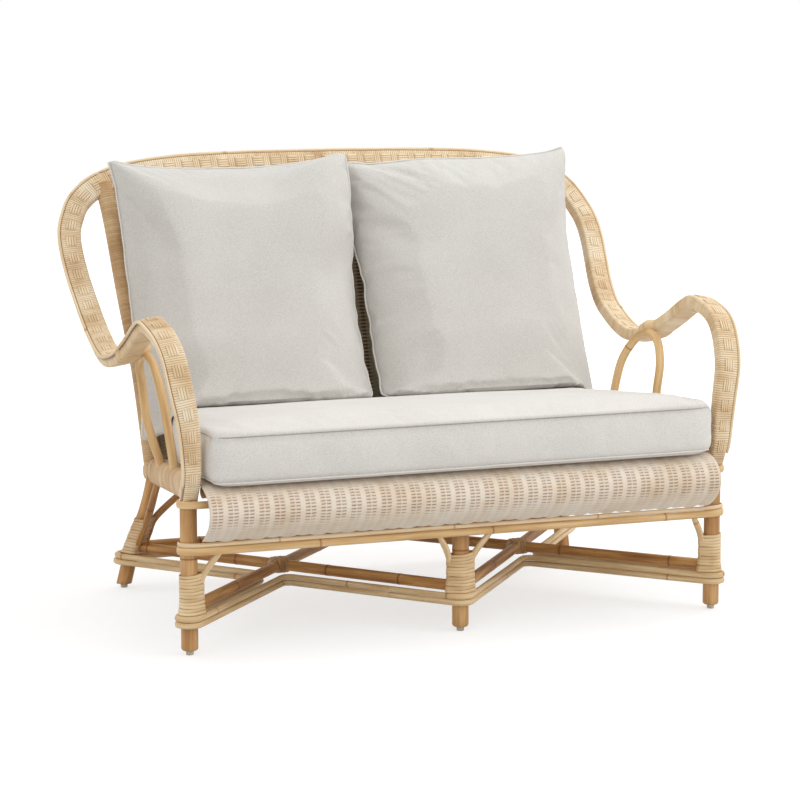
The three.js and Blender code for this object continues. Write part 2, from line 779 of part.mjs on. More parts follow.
// The binding that ties the loop's crest to the ribbon
function armLoopBinding() {
  const run = afterTie.centre.distanceTo(beforeTie.centre);
  const reach = armLoopRadius * 2 + clearance * 2;
  const rings = [-0.5, 0.5].map((end) => ribbonSectionShares.map(([side, face]) => (
    beforeTie.centre.clone().lerp(afterTie.centre, tieShare + (end * loopBindingLength) / run)
      .addScaledVector(beforeTie.across, side * (ribbonWidth / 2 + bindingThickness) - (side < 0 ? reach : 0))
      .addScaledVector(beforeTie.face, face * (ribbonThickness / 2 + bindingThickness)))));
  return cut(loft(rings), [armRibbon(clearance), armEdgeCane(), armLoop(clearance)]);
}

// Woven sheets

const deckFrontHalf = legX - legRadius - weaveSideGap;
const deckRearHalf = rearTopX - postRadius - weavePostGap;
const apronFoot = apronEdgeHeight + apronEdgeCaneRadius + clearance;

const deckShares = [1, 0.66, 0.33, 0];
// Each row: the shares of the apron's bulge and of its drop
const apronShares = [[0.4, 0.04], [0.78, 0.17], [0.96, 0.33], [1, 0.48], [0.9, 0.67], [0.66, 0.84]];

// The seat's weave as a side view: along the deck, over the front rail and round the apron
function seatWeaveRoute() {
  const apronEnd = apronFoot + deckThickHalf;
  return [
    ...deckShares.map((share) => [mix(0, deckRearDepth, share), mix(deckFrontHeight, deckRearHeight, share)]),
    ...apronShares.map(([bulge, drop]) => [-apronBulge * bulge, mix(deckFrontHeight, apronEnd, drop)]),
    [-apronRailOffset, apronEnd],
  ].map(([depth, height]) => new THREE.Vector2(depth, height));
}

function seatWeave() {
  const route = seatWeaveRoute();
  const rings = route.map((point, i) => {
    const before = route[Math.max(i - 1, 0)];
    const after = route[Math.min(i + 1, route.length - 1)];
    const along = after.clone().sub(before).normalize();
    const out = new THREE.Vector2(along.y, -along.x).multiplyScalar(-deckThickHalf);
    const half = mix(deckFrontHalf, deckRearHalf, Math.max(point.x, 0) / deckRearDepth);
    return [[-half, 1], [half, 1], [half, -1], [-half, -1]].map(([x, side]) => (
      at(x, point.x + out.x * side, point.y + out.y * side)));
  });
  return loft(rings);
}

const panelLevels = 4;
const panelColumns = 6;
const panelSetbackShare = 0.3;
const panelFootDepth = rearTopDepth + backRailRadius * panelSetbackShare;
const panelTop = topPart[topPart.length - 1].centre;

// The back's weave spans the posts, from the back rail to the top ribbon, and bows back in the middle
function backWeave() {
  const rings = [];
  for (let level = 0; level <= panelLevels; level++) {
    const share = level / panelLevels;
    const half = mix(rearTopX, postTop.centre.x, share);
    const front = [];
    const rear = [];
    for (let column = 0; column <= panelColumns; column++) {
      const across = (column / panelColumns) * 2 - 1;
      const top = panelTop.clone().lerp(postTop.centre, across * across);
      const height = mix(backRailHeight, top.z, share);
      const depth = mix(panelFootDepth, top.y, share) + backBow * (1 - across * across) * Math.sin(Math.PI * share);
      front.push(at(half * across, depth - deckThickHalf, height));
      rear.unshift(at(half * across, depth + deckThickHalf, height));
    }
    rings.push([...front, ...rear]);
  }
  return cut(loft(rings), [
    backPost(clearance), mirrored(backPost(clearance)), topRibbon(clearance),
    armRibbon(clearance), mirrored(armRibbon(clearance)), seatBackRail(clearance),
  ]);
}

// Cushions

const outlinePoints = 32;
const outlinePower = 9;
const crownPower = 2.4;
// Each row: how far the ring reaches out, then its share of the side's height
const seatSideShares = [[0.93, 0], [0.985, 0.03], [1, 0.14], [0.994, 0.5], [1, 0.86], [0.985, 0.97]];
const seatCrownShares = [0.93, 0.72, 0.4];
const seatRear = deckRearDepth - weaveThickness - cushionGap;
const seatMiddle = (seatRear - seatCushionOverhang) / 2;
const seatHalfDepth = (seatRear + seatCushionOverhang) / 2;
const seatRearHalf = rearTopX - sideBandWidth / 2 - seatCushionSideGap;
const seatLift = deckFrontHeight + deckThickHalf + clearance;

const seatFrontHalf = deckFrontHalf - cushionGap;
const seatHalfAt = (depth) => mix(seatFrontHalf, seatRearHalf, Math.max(depth, 0) / rearTopDepth);
const crownAt = (reach) => seatCushionCrown * (1 - reach ** crownPower);
const cornered = (turn) => Math.sign(turn) * Math.abs(turn) ** (2 / outlinePower);

function seatCushionRing(reach, height) {
  const ring = [];
  for (let i = 0; i < outlinePoints; i++) {
    const turn = (i / outlinePoints) * Math.PI * 2;
    const depth = seatMiddle + cornered(Math.sin(turn)) * reach * seatHalfDepth;
    ring.push(at(cornered(Math.cos(turn)) * reach * seatHalfAt(depth), depth, height));
  }
  return ring;
}

function seatCushion() {
  return loft([
    ...seatSideShares.map(([reach, rise]) => seatCushionRing(reach, rise * seatCushionHeight)),
    ...seatCrownShares.map((reach) => seatCushionRing(reach, seatCushionHeight + crownAt(reach))),
  ]).rotateX(-seatAngle).translate(0, 0, seatLift);
}

// The plane that the back cushions stand on: it touches the seat cushion's crown below them
const standShare = 0.858;
const standDepth = seatRear * standShare;
const touchDepth = (standDepth - seatCushionHeight * Math.sin(seatAngle)) / Math.cos(seatAngle);
const touchReach = (touchDepth - seatMiddle) / seatHalfDepth;
const crownFall = (seatCushionCrown * crownPower * touchReach ** (crownPower - 1)) / seatHalfDepth;
const touchHeight = seatLift + (seatCushionHeight + crownAt(touchReach)) / Math.cos(seatAngle);
const standAt = (y) => touchHeight - y * deckSlope - (y - standDepth) * crownFall + clearance;

// The back cushions lean on the back's weave, which their middle clears by the gap
const panelRise = panelTop.z - backRailHeight;
const panelLean = Math.atan((panelTop.y - panelFootDepth) / panelRise);
const backCushionRecline = panelLean + backCushionTip;
const backCushionFoot = standAt(standDepth) - backCushionSink;
const backCushionHalf = (rearTopX + backCushionOverhang) / 2;
const backCushionMiddle = backCushionHalf + cushionGap / 2;
const backCushionLength = (backHeight + backCushionRise - backCushionFoot) / Math.cos(backCushionRecline);
const backCushionDepth = (() => {
  const along = backCushionLength / 2;
  const deep = backCushionThickness / 2;
  const rear = along * Math.sin(backCushionRecline) + deep * Math.cos(backCushionRecline);
  const height = backCushionFoot + along * Math.cos(backCushionRecline) - deep * Math.sin(backCushionRecline);
  const bow = backBow * (1 - (backCushionMiddle / rearTopX) ** 2);
  const weaveDepth = panelFootDepth + (height - backRailHeight) * Math.tan(panelLean) + bow;
  return weaveDepth - deckThickHalf - backCushionGap - rear;
})();

const pillowCells = 12;
const pillowPower = 2.8;
const pillowPinchShare = 0.035;
const pillowSagShare = 0.14;

// A loose cushion with a seam round its edge, pointed corners and drawn-in sides, fuller low down.
// Its foot lies flat on the seat cushion.
function backCushion() {
  const placed = (u, v, face) => {
    const round = Math.sqrt((1 - Math.abs(u) ** pillowPower) * (1 - Math.abs(v) ** pillowPower));
    const swell = face * round * (1 - pillowSagShare * v) * (backCushionThickness / 2);
    const rise = (backCushionLength / 2) * (1 + v * (1 - pillowPinchShare * (1 - u * u)));
    const point = at(u * backCushionHalf * (1 - pillowPinchShare * (1 - v * v)), swell, rise)
      .applyAxisAngle(at(1, 0, 0), -backCushionRecline)
      .add(at(backCushionMiddle, backCushionDepth, backCushionFoot));
    return point.setZ(Math.max(point.z, standAt(point.y)));
  };
  const points = [];
  const places = new Map();
  const placeOf = (i, j, face) => {
    const onSeam = i === 0 || j === 0 || i === pillowCells || j === pillowCells;
    const key = `${i} ${j} ${onSeam ? 0 : face}`;
    if (!places.has(key)) {
      places.set(key, points.length);
      points.push(placed((i / pillowCells) * 2 - 1, (j / pillowCells) * 2 - 1, face));
    }
    return places.get(key);
  };
  const faces = [];
  for (const face of [-1, 1]) {
    for (let i = 0; i < pillowCells; i++) {
      for (let j = 0; j < pillowCells; j++) {
        const corners = [[i, j], [i + 1, j], [i + 1, j + 1], [i, j + 1]];
        const [a, b, c, d] = corners.map(([p, q]) => placeOf(p, q, face));
        faces.push(...[[a, b, c], [a, c, d]].map(([p, q, r]) => (face < 0 ? [p, q, r] : [p, r, q])));
      }
    }
  }
  return solidFromFaces(points, faces);
}

// The assembly

const sides = [['left', -1], ['right', 1]];
const onSide = (geometry, side) => (side < 0 ? mirrored(geometry) : geometry);

function addFrontLegs() {
  addPart('front_leg_left', frontLeg(-legX, frontLegTop), cane);
  addPart('front_leg_middle', frontLeg(0, seatRailHeight - seatRailRadius - clearance), cane);
  addPart('front_leg_right', frontLeg(legX, frontLegTop), cane);
  for (const [name, x] of [['left', -legX], ['middle', 0], ['right', legX]]) {
    addPart(`foot_glide_front_${name}`, glide(x, 0), glidePlastic);
  }
}

function addRearLegs() {
  const foot = rearLegCurve.getPoint(0);
  const floorBlock = box(
    at(-frontLegSpan, 0, -overrun), at(frontLegSpan, rearFootDepth + overrun, glideHeight + clearance));
  const leg = cut(rearLeg(), [floorBlock, seatBackRail(clearance), seatSideBand(clearance)]);
  for (const [name, side] of sides) {
    addPart(`rear_leg_${name}`, onSide(leg, side), barkCane);
    addPart(`foot_glide_rear_${name}`, glide(side * foot.x, foot.y), glidePlastic);
  }
}

function addSeatFrame() {
  const ribbonFeet = [armRibbon(clearance), mirrored(armRibbon(clearance))];
  const legs = [frontLeg(-legX, frontLegTop, clearance), frontLeg(legX, frontLegTop, clearance)];
  const sideTools = [seatSideBand(clearance), mirrored(seatSideBand(clearance))];
  addPart('seat_front_rail', cut(seatFrontRail(), [...ribbonFeet, ...legs, ...sideTools]), cane);
  addPart('seat_back_rail', seatBackRail(), peel);
  const bandTools = [ribbonFeet[0], legs[1], seatBackRail(clearance), backPost(clearance)];
  const sideBand = cut(seatSideBand(), bandTools);
  for (const [name, side] of sides) addPart(`seat_side_band_${name}`, onSide(sideBand, side), peel);
  const railTools = [
    rod(at(-legX, 0, seatRailHeight), at(legX, 0, seatRailHeight), seatRailRadius + clearance),
    seatBackRail(clearance), frontLeg(0, seatRailHeight - seatRailRadius - clearance, clearance),
  ];
  addPart('seat_cross_rail', cut(seatCrossRail(), railTools), barkCane);
  const seatEdgeHeight = seatRailHeight - seatRailRadius - clearance - seatEdgeCaneRadius;
  addPart('seat_edge_cane', hookedCane(
    seatEdgeCaneRadius, seatEdgeHeight, legRadius + clearance + seatEdgeCaneRadius), cane);
  addPart('apron_rail', hookedCane(apronRailRadius, apronRailHeight, apronRailOffset), cane);
  addPart('apron_edge_cane', hookedCane(apronEdgeCaneRadius, apronEdgeHeight, apronRailOffset), peel);
}

function addStretchers() {
  const legTool = frontLeg(legX, frontLegTop, clearance);
  const middleTool = frontLeg(0, frontLegTop, clearance);
  const rearTool = rearLeg(clearance);
  addPart('stretcher_back', cut(stretcher('back'), [rearTool, mirrored(rearTool)]), barkCane);
  const front = cut(stretcher('front'), [legTool, stretcher('back', clearance), lapCut('cross', false)]);
  const crossTools = [rearTool, middleTool, stretcher('back', clearance), lapCut('front', true)];
  const cross = cut(stretcher('cross'), crossTools);
  for (const [name, side] of sides) {
    addPart(`stretcher_front_${name}`, onSide(front, side), cane);
    addPart(`stretcher_cross_${name}`, onSide(cross, side), barkCane);
  }
  for (const [name, height] of [['upper', upperLoopHeight], ['lower', lowerLoopHeight]]) {
    const canes = loopCanes(height);
    addPart(`stretcher_loop_${name}_left`, canes.left, cane);
    addPart(`stretcher_loop_${name}_right`, canes.right, cane);
  }
  const nodeTools = [stretcher('front', clearance), stretcher('cross', clearance)];
  const node = nodeBinding(crossing, nodeTools);
  for (const [name, side] of sides) addPart(`crossing_binding_${name}`, onSide(node, side), peel);
  const frontTool = stretcher('front', clearance);
  const backTools = [stretcher('back', clearance), frontTool, mirrored(frontTool)];
  addPart('crossing_binding_back', nodeBinding(at(0, rearEnd.y, 0), backTools), peel);
}

function addBrackets() {
  const railTool = hookedCane(apronRailRadius + clearance, apronRailHeight, apronRailOffset);
  for (const [name, x, side] of [
    ['front_left', -legX, 1], ['middle_left', 0, -1], ['middle_right', 0, 1], ['front_right', legX, -1],
  ]) {
    addPart(`bracket_${name}`, cut(frontBracket(x, side), [railTool]), cane);
  }
  const sideOne = cut(rearSideBracket(), [seatSideBand(clearance), stretcher('cross', clearance)]);
  const backOne = cut(rearBackBracket(), [
    seatBackRail(clearance), stretcher('back', clearance), rearSideBracket(clearance), rearLeg(clearance),
  ]);
  for (const [name, side] of sides) {
    addPart(`bracket_rear_side_${name}`, onSide(sideOne, side), cane);
    addPart(`bracket_rear_back_${name}`, onSide(backOne, side), barkCane);
  }
}

function addLegBindings() {
  const frontTool = stretcher('front', clearance);
  const crossTool = stretcher('cross', clearance);
  addPart('leg_binding_front_left', frontBinding(-legX, [1], [mirrored(frontTool)]), peel);
  addPart('leg_binding_front_middle', frontBinding(0, [-1, 1], [crossTool, mirrored(crossTool)]), peel);
  addPart('leg_binding_front_right', frontBinding(legX, [-1], [frontTool]), peel);
  const rear = rearBinding();
  for (const [name, side] of sides) addPart(`leg_binding_rear_${name}`, onSide(rear, side), peel);
}

function addArmsAndBack() {
  const loop = cut(armLoop(), [seatSideBand(clearance)]);
  const post = cut(backPost(), [seatBackRail(clearance), armRibbon(clearance), topRibbon(clearance)]);
  const binding = armLoopBinding();
  for (const [name, side] of sides) {
    addPart(`arm_ribbon_${name}`, onSide(armRibbon(), side), peel);
    addPart(`arm_edge_cane_${name}`, onSide(armEdgeCane(), side), peel);
    addPart(`arm_loop_${name}`, onSide(loop, side), cane);
    addPart(`arm_loop_binding_${name}`, onSide(binding, side), peel);
    addPart(`back_post_${name}`, onSide(post, side), peel);
  }
  addPart('back_ribbon', topRibbon(), peel);
  addPart('back_edge_cane', topEdgeCane(), peel);
}

addFrontLegs();
addRearLegs();
addSeatFrame();
addStretchers();
addBrackets();
addLegBindings();
addArmsAndBack();
addPart('seat_weave', seatWeave(), wicker);
addPart('back_weave', backWeave(), wicker);
addPart('seat_cushion', seatCushion(), linen);
for (const [name, side] of sides) addPart(`back_cushion_${name}`, onSide(backCushion(), side), linen);

// Stand the sofa's outline over the origin
const outline = new THREE.Box3().setFromObject(sofa);
sofa.position.y = -(outline.min.y + outline.max.y) / 2;

export default sofa;
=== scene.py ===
import math, random
import bpy, bmesh
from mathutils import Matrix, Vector, noise
from mathutils.kdtree import KDTree


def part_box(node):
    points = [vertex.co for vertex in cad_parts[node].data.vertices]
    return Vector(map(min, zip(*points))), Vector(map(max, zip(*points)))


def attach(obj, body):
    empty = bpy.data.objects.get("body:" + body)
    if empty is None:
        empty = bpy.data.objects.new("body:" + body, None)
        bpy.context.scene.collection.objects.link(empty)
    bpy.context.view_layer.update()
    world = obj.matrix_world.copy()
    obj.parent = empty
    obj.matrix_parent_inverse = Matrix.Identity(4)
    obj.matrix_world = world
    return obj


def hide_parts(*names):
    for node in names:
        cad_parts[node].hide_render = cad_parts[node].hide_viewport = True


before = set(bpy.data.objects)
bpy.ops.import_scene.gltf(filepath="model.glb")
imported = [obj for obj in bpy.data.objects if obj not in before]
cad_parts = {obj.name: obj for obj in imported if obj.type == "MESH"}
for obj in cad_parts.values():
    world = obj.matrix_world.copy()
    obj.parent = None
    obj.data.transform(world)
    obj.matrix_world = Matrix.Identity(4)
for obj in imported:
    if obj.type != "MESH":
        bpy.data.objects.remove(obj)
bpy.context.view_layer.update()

legLine = (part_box("front_leg_middle")[0].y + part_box("front_leg_middle")[1].y) / 2  # y of the front legs
bothSides = (("left", -1), ("right", 1))
quarter = math.pi / 2


def hexColor(text):
    channels = [int(text[i:i + 2], 16) / 255 for i in (0, 2, 4)]
    return [c / 12.92 if c <= 0.04045 else ((c + 0.055) / 1.055) ** 2.4 for c in channels] + [1]


class Shading:
    # A node tree with a short call for each kind of node.
    # An input takes a value, an output or a node, which stands for its first output
    def __init__(self, tree):
        self.tree = tree
        tree.nodes.clear()

    def add(self, kind, inputs={}, **settings):
        node = self.tree.nodes.new("ShaderNode" + kind)
        for name, value in settings.items():
            setattr(node, name, value)
        for name, value in inputs.items():
            source = value.outputs[0] if isinstance(value, bpy.types.Node) else value
            if isinstance(source, bpy.types.NodeSocket):
                self.tree.links.new(source, node.inputs[name])
            else:
                node.inputs[name].default_value = source
        return node

    def math(self, operation, *values):
        return self.add("Math", dict(enumerate(values)), operation=operation)

    def scaled(self, vector, factors):
        return self.add("VectorMath", {0: vector, 1: factors}, operation="MULTIPLY")

    def grain(self, vector, scale, detail, roughness=0.5):
        inputs = {"Vector": vector, "Scale": scale, "Detail": detail, "Roughness": roughness}
        return self.add("TexNoise", inputs)

    def painted(self, name):
        return self.add("Attribute", attribute_name=name).outputs["Fac"]

    def place(self):
        return self.add("TexCoord").outputs["Object"]

    def tinted(self, share, below, color, blend="MIX"):
        inputs = {0: share, 6: below, 7: hexColor(color)}
        return self.add("Mix", inputs, data_type="RGBA", blend_type=blend).outputs[2]

    def ramp(self, source, places, tones):
        node = self.add("ValToRGB", {"Fac": source})
        elements = node.color_ramp.elements
        while len(elements) < len(tones):
            elements.new(1)
        for element, place, tone in zip(elements, places, tones):
            element.position, element.color = place, hexColor(tone)
        return node

    def bump(self, height, strength, distance):
        return self.add("Bump", {"Height": height, "Strength": strength, "Distance": distance})

    def surface(self, inputs):
        self.add("OutputMaterial", {"Surface": self.add("BsdfPrincipled", {"IOR": 1.5, **inputs})})


def newMaterial(name):
    material = bpy.data.materials.new(name)
    material.use_nodes = True
    return material, Shading(material.node_tree)


# Rattan pole with its skin on: a hard, silky rind over long fibres, with a darker ring at each joint.
# The eye sees fine streaks along it, slow changes of tone, dark joints and a soft highlight.
def rattanPole(name, tones, look):
    material, shading = newMaterial(name)
    along = shading.add("SeparateXYZ", {0: shading.add("UVMap", uv_map="route")})
    turn = shading.math("MULTIPLY", along.outputs["Y"], 2 * math.pi)
    offset = shading.math("ADD", along.outputs["X"], shading.add("ObjectInfo").outputs["Random"])
    cosine, sine = shading.math("COSINE", turn), shading.math("SINE", turn)
    wrapped = shading.add("CombineXYZ", {"X": offset, "Y": cosine, "Z": sine})
    streak = shading.grain(shading.scaled(wrapped, (9, look["fibres"], look["fibres"])), 1, 5, 0.6)
    patch = shading.grain(shading.scaled(wrapped, (7, 0.7, 0.7)), 1.3, 2)
    speck = shading.grain(shading.scaled(wrapped, (60, 5, 5)), 1.6, 1)
    middle = 0.5 + 0.5 * look["streak"]
    tone = shading.ramp(shading.math("MULTIPLY_ADD", streak, look["streak"], patch),
                        (middle - 0.32, middle, middle + 0.3), tones)
    tone = shading.tinted(shading.painted("joint"), tone, look["joint"], "MULTIPLY")
    specks = {"Value": speck, "From Min": 0.7, "From Max": 0.78, "To Max": look["specks"]}
    tone = shading.tinted(shading.add("MapRange", specks), tone, look["speck"])
    gloss = shading.add("MapRange", {"Value": streak, "To Min": look["gloss"], "To Max": look["gloss"] + 0.2})
    shading.surface({"Base Color": tone, "Roughness": gloss, "Normal": shading.bump(streak, 0.25, 0.0004),
                     "Coat Weight": look["coat"], "Coat Roughness": 0.25})
    return material


# Peel: the rind shaved off in thin flat strips and wound or woven damp, so each turn dries its own tone.
# The eye sees strip after strip, matt straw with fine lines along each, and painted shade in the gaps between.
def rattanPeel(name, tones, look):
    material, shading = newMaterial(name)
    whole = shading.math("ROUND", shading.painted("strip"))
    turnTone = shading.add("TexWhiteNoise", {"W": whole}, noise_dimensions="1D").outputs["Value"]
    streak = shading.grain(shading.scaled(shading.add("UVMap", uv_map="route"), (30, 900, 1)), 1, 3, 0.6)
    uneven = shading.math("MULTIPLY_ADD", turnTone, look["turns"], shading.grain(shading.place(), 16, 2))
    middle = 0.5 + 0.5 * look["turns"] + 0.5 * look["streak"]
    spread = look.get("spread", 0.3)
    tone = shading.ramp(shading.math("MULTIPLY_ADD", streak, look["streak"], uneven),
                        (middle - spread, middle, middle + spread), tones)
    # Painted shade: the gap colour is laid where the groove value marks a groove, a hole in the weave or a
    # strip's diving edge
    tone = shading.tinted(shading.painted("grooveShade"), tone, look["gap"])
    tone = shading.tinted(shading.painted("rib"), tone, look.get("rib", look["gap"]))
    shading.surface({"Base Color": tone, "Roughness": look["gloss"],
                     "Normal": shading.bump(streak, 0.3, 0.0003)})
    return material


# Linen blend for garden cushions: a plain weave of uneven yarn, matt, with lint that catches light.
# The eye sees a fine grey and cream mottle; the 0.6 mm yarn is drawn at 1.6 mm so that it shows.
def linenCloth(name, tones):
    look = {"yarn": 0.0016, "slub": 420, "seam": "857f76"}
    material, shading = newMaterial(name)
    place = shading.place()
    turned = shading.add("Mapping", {"Vector": place, "Rotation": (0.02, 0.03, 0.05)})
    bent = shading.math("MULTIPLY", shading.grain(turned, 60, 2), 3)
    split = shading.add("SeparateXYZ", {0: turned})
    phases = [shading.math("MULTIPLY_ADD", split.outputs[axis], 2 * math.pi / look["yarn"], bent)
              for axis in ("X", "Z")]
    weave = shading.math("MULTIPLY", *[shading.math("SINE", phase) for phase in phases])
    slub = shading.grain(place, look["slub"], 6, 0.72)
    mottle = shading.math("MULTIPLY_ADD", shading.grain(place, 7, 3), 0.22, slub)
    tone = shading.ramp(mottle, (0.4, 0.61, 0.82), tones)
    # Painted shade: the cloth is darkened along its seams, where it creases
    tone = shading.tinted(shading.painted("seam"), tone, look["seam"], "MULTIPLY")
    height = shading.math("MULTIPLY_ADD", weave, 0.4, slub)
    shading.surface({"Base Color": tone, "Roughness": 0.95, "Sheen Weight": 0.25, "Sheen Roughness": 0.5,
                     "Normal": shading.bump(height, 0.35, 0.0006)})
    return material


# Moulded nylon: waxy, slightly clear, scuffed where it stands
def glideNylon():
    material, shading = newMaterial("moulded nylon glide")
    scuff = shading.grain(shading.place(), 300, 4)
    shading.surface({"Base Color": shading.ramp(scuff, (0.35, 0.6, 0.8), ("a89e8c", "cfc5b2", "ddd5c6")),
                     "Roughness": 0.45})
    return material


# Tones run dark, middle and light
legCane = rattanPole("peeled manau pole", ("966634", "bd8e56", "d6ae78"), {
    "joint": "b98a5c", "speck": "6e4522", "specks": 0.5, "streak": 0.5, "fibres": 9, "gloss": 0.4,
    "coat": 0.06})
# Skin-on pole for the rear legs, stretchers and seat cross rail; on the rear brackets its darker tone is painted
# shade
darkCane = rattanPole("skin-on manau pole", ("855224", "b07c3f", "cf9f60"), {
    "joint": "a8784c", "speck": "4c2e16", "specks": 0.6, "streak": 0.6, "fibres": 9, "gloss": 0.42,
    "coat": 0.06})
paleCane = rattanPole("peeled pitrit cane", ("ba9562", "d9ba8b", "ecd6b0"), {
    "joint": "c89f70", "speck": "8c6236", "specks": 0.35, "streak": 0.45, "fibres": 7, "gloss": 0.45,
    "coat": 0.02})
loopTan = rattanPole("peeled bent cane", ("b88c54", "d6af78", "e8ca9a"), {
    "joint": "c0905a", "speck": "8c6236", "specks": 0.3, "streak": 0.4, "fibres": 8, "gloss": 0.42,
    "coat": 0.04})
edgeCane = rattanPole("bleached edge cane", ("cfae80", "e6cda6", "f2e0c4"), {
    "joint": "d8b488", "speck": "a07a4c", "specks": 0.2, "streak": 0.35, "fibres": 6, "gloss": 0.45,
    "coat": 0.02})
woundPeel = rattanPeel("wound rattan peel", ("c6a272", "e0c294", "efdab4"), {
    "gap": "8c6236", "turns": 0.2, "streak": 0.2, "gloss": 0.5})
ribbonPeel = rattanPeel("woven rattan peel", ("c9a679", "e6cca4", "f4e5c9"), {
    "gap": "6e4420", "turns": 0.16, "streak": 0.2, "gloss": 0.5})
# Darker peel for the posts, side bands and back rail; on the rear leg bindings and the crossing bindings, under
# the seat, the darker tone is painted shade
bandPeel = rattanPeel("darker rattan peel with painted shade", ("a98256", "caa678", "dec29a"), {
    "gap": "8a6238", "turns": 0.2, "streak": 0.2, "gloss": 0.55})
coreStrand = rattanPeel("rattan core strand", ("e3caa9", "f9ead5", "fdf5e9"), {
    "gap": "7c440c", "turns": 0.12, "streak": 0.15, "gloss": 0.65, "spread": 0.45})
backStrand = rattanPeel("rattan core strand over ribs", ("d8bd92", "f0dfbe", "fbf0da"), {
    "gap": "5a3c20", "rib": "8a5428", "turns": 0.25, "streak": 0.2, "gloss": 0.6, "spread": 0.5})
linen = linenCloth("oatmeal linen", ("bbb8b1", "cdcac4", "dad8d3"))
# A lighter copy of the linen for the seat pad: painted light, as its top faces the lamps above
litSeatLinen = linenCloth("oatmeal linen of the seat", ("c8c4bd", "dad6d0", "e6e3de"))
# A darker copy of the linen for the thin cord on the seat pad's top seam: painted shade in the seam
seamShadeCord = linenCloth("oatmeal linen seam", ("8f8a82", "a09b92", "b0aba2"))
piping = linenCloth("oatmeal linen cord", ("cfcbc3", "dedad3", "e8e5df"))
glideMaterial = glideNylon()
print("materials made")


def at(x, y, z):
    return Vector((x, y + legLine, z))


def mix(a, b, share):
    return a + (b - a) * share


def ease(share):
    share = min(max(share, 0), 1)
    return share * share * (3 - 2 * share)


def between(low, high, rows):
    # Points between two corners, one for each row of three shares
    return [at(*[mix(a, b, share) for a, b, share in zip(low, high, row)]) for row in rows]


def mirrored(points, side):
    return [Vector((p.x * side, p.y, p.z)) for p in points]


def splinePoints(points, steps=12, power=0.25):
    # Catmull-Rom through the points; power 0.25 is the centripetal kind
    made = []
    ends = [points[0] * 2 - points[1]] + list(points) + [points[-1] * 2 - points[-2]]
    for i in range(len(points) - 1):
        p = ends[i:i + 4]
        gaps = [max((p[k + 1] - p[k]).length_squared ** power, 1e-6) for k in range(3)]
        t1, t2 = [((p[k] - p[k - 1]) / gaps[k - 1] - (p[k + 1] - p[k - 1]) / (gaps[k - 1] + gaps[k])
                   + (p[k + 1] - p[k]) / gaps[k]) * gaps[1] for k in (1, 2)]
        for k in range(steps):
            s = k / steps
            made.append(p[1] * (2 * s ** 3 - 3 * s * s + 1) + t1 * (s ** 3 - 2 * s * s + s)
                        + p[2] * (3 * s * s - 2 * s ** 3) + t2 * (s ** 3 - s * s))
    return made + [points[-1].copy()]


class Route:
    # A path with places by length, and directions carried along it without twist
    def __init__(self, points, across):
        self.points = [p for i, p in enumerate(points) if i == 0 or (p - points[i - 1]).length > 1e-6]
        self.lengths = [0]
        for a, b in zip(self.points, self.points[1:]):
            self.lengths.append(self.lengths[-1] + (b - a).length)
        self.total = self.lengths[-1]
        last = len(self.points) - 1
        self.tangents = [(self.points[min(i + 1, last)] - self.points[max(i - 1, 0)]).normalized()
                         for i in range(last + 1)]
        self.acrosses = []
        way = Vector(across)
        for tangent in self.tangents:
            way = (way - tangent * way.dot(tangent)).normalized()
            self.acrosses.append(way)

    def frame(self, length):
        low, high = 0, len(self.points) - 2
        while low < high:
            middle = (low + high + 1) // 2
            if self.lengths[middle] <= length:
                low = middle
            else:
                high = middle - 1
        share = (length - self.lengths[low]) / (self.lengths[low + 1] - self.lengths[low])
        inside = min(max(share, 0), 1)
        centre = self.points[low].lerp(self.points[low + 1], share)
        tangent = self.tangents[low].lerp(self.tangents[low + 1], inside).normalized()
        across = self.acrosses[low].lerp(self.acrosses[low + 1], inside)
        across = (across - tangent * across.dot(tangent)).normalized()
        return centre, tangent, across, across.cross(tangent)


def newPiece(name, bm, material, body, slotName, replaced=()):
    mesh = bpy.data.meshes.new(name)
    bm.to_mesh(mesh)
    bm.free()
    piece = bpy.data.objects.new(name, mesh)
    bpy.context.scene.collection.objects.link(piece)
    mesh.materials.append(material)
    for polygon in mesh.polygons:
        polygon.use_smooth = True
    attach(piece, body)
    if replaced:
        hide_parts(*replaced)
    return piece


def sweep(bm, rings, loopBack):
    # A sheet with one row for each ring, rolled up and joined at its side.
    # A ring holds its positions, its length along the piece and its painted values, each one number or a list
    uv = bm.loops.layers.uv.get("route") or bm.loops.layers.uv.new("route")
    layers = {}
    for key in rings[0][2]:
        layers[key] = bm.verts.layers.float.get(key) or bm.verts.layers.float.new(key)
    count = len(rings[0][0])
    lap = 0.0025  # how far the closing row counts past the last one
    rows = [*rings, (rings[0][0], rings[-1][1] + lap, rings[-1][2])] if loopBack else rings
    sheet = bmesh.ops.create_grid(bm, x_segments=count, y_segments=len(rows) - 1, size=1)["verts"]
    spots = {}
    for index, v in enumerate(sheet):
        row, column = divmod(index, count + 1)
        positions, length, painted = rows[row]
        v.co = positions[column % count]
        spots[v] = (length, column / count)
        for key, value in painted.items():
            v[layers[key]] = value[column % count] if isinstance(value, list) else value
    for face in {f for v in sheet for f in v.link_faces}:
        for loop in face.loops:
            loop[uv].uv = spots[loop.vert]
    joined = [v for index, v in enumerate(sheet) if index % (count + 1) in (0, count)]
    ends = sheet[:count + 1] + sheet[-count - 1:]
    bmesh.ops.remove_doubles(bm, verts=list({*joined, *ends}) if loopBack else joined, dist=1e-7)
    if not loopBack:
        for verts in (sheet[:count], sheet[-count - 1:-1]):
            edges = {e for v in verts if v.is_valid for e in v.link_edges if e.is_boundary}
            bmesh.ops.contextual_create(bm, geom=list(edges))


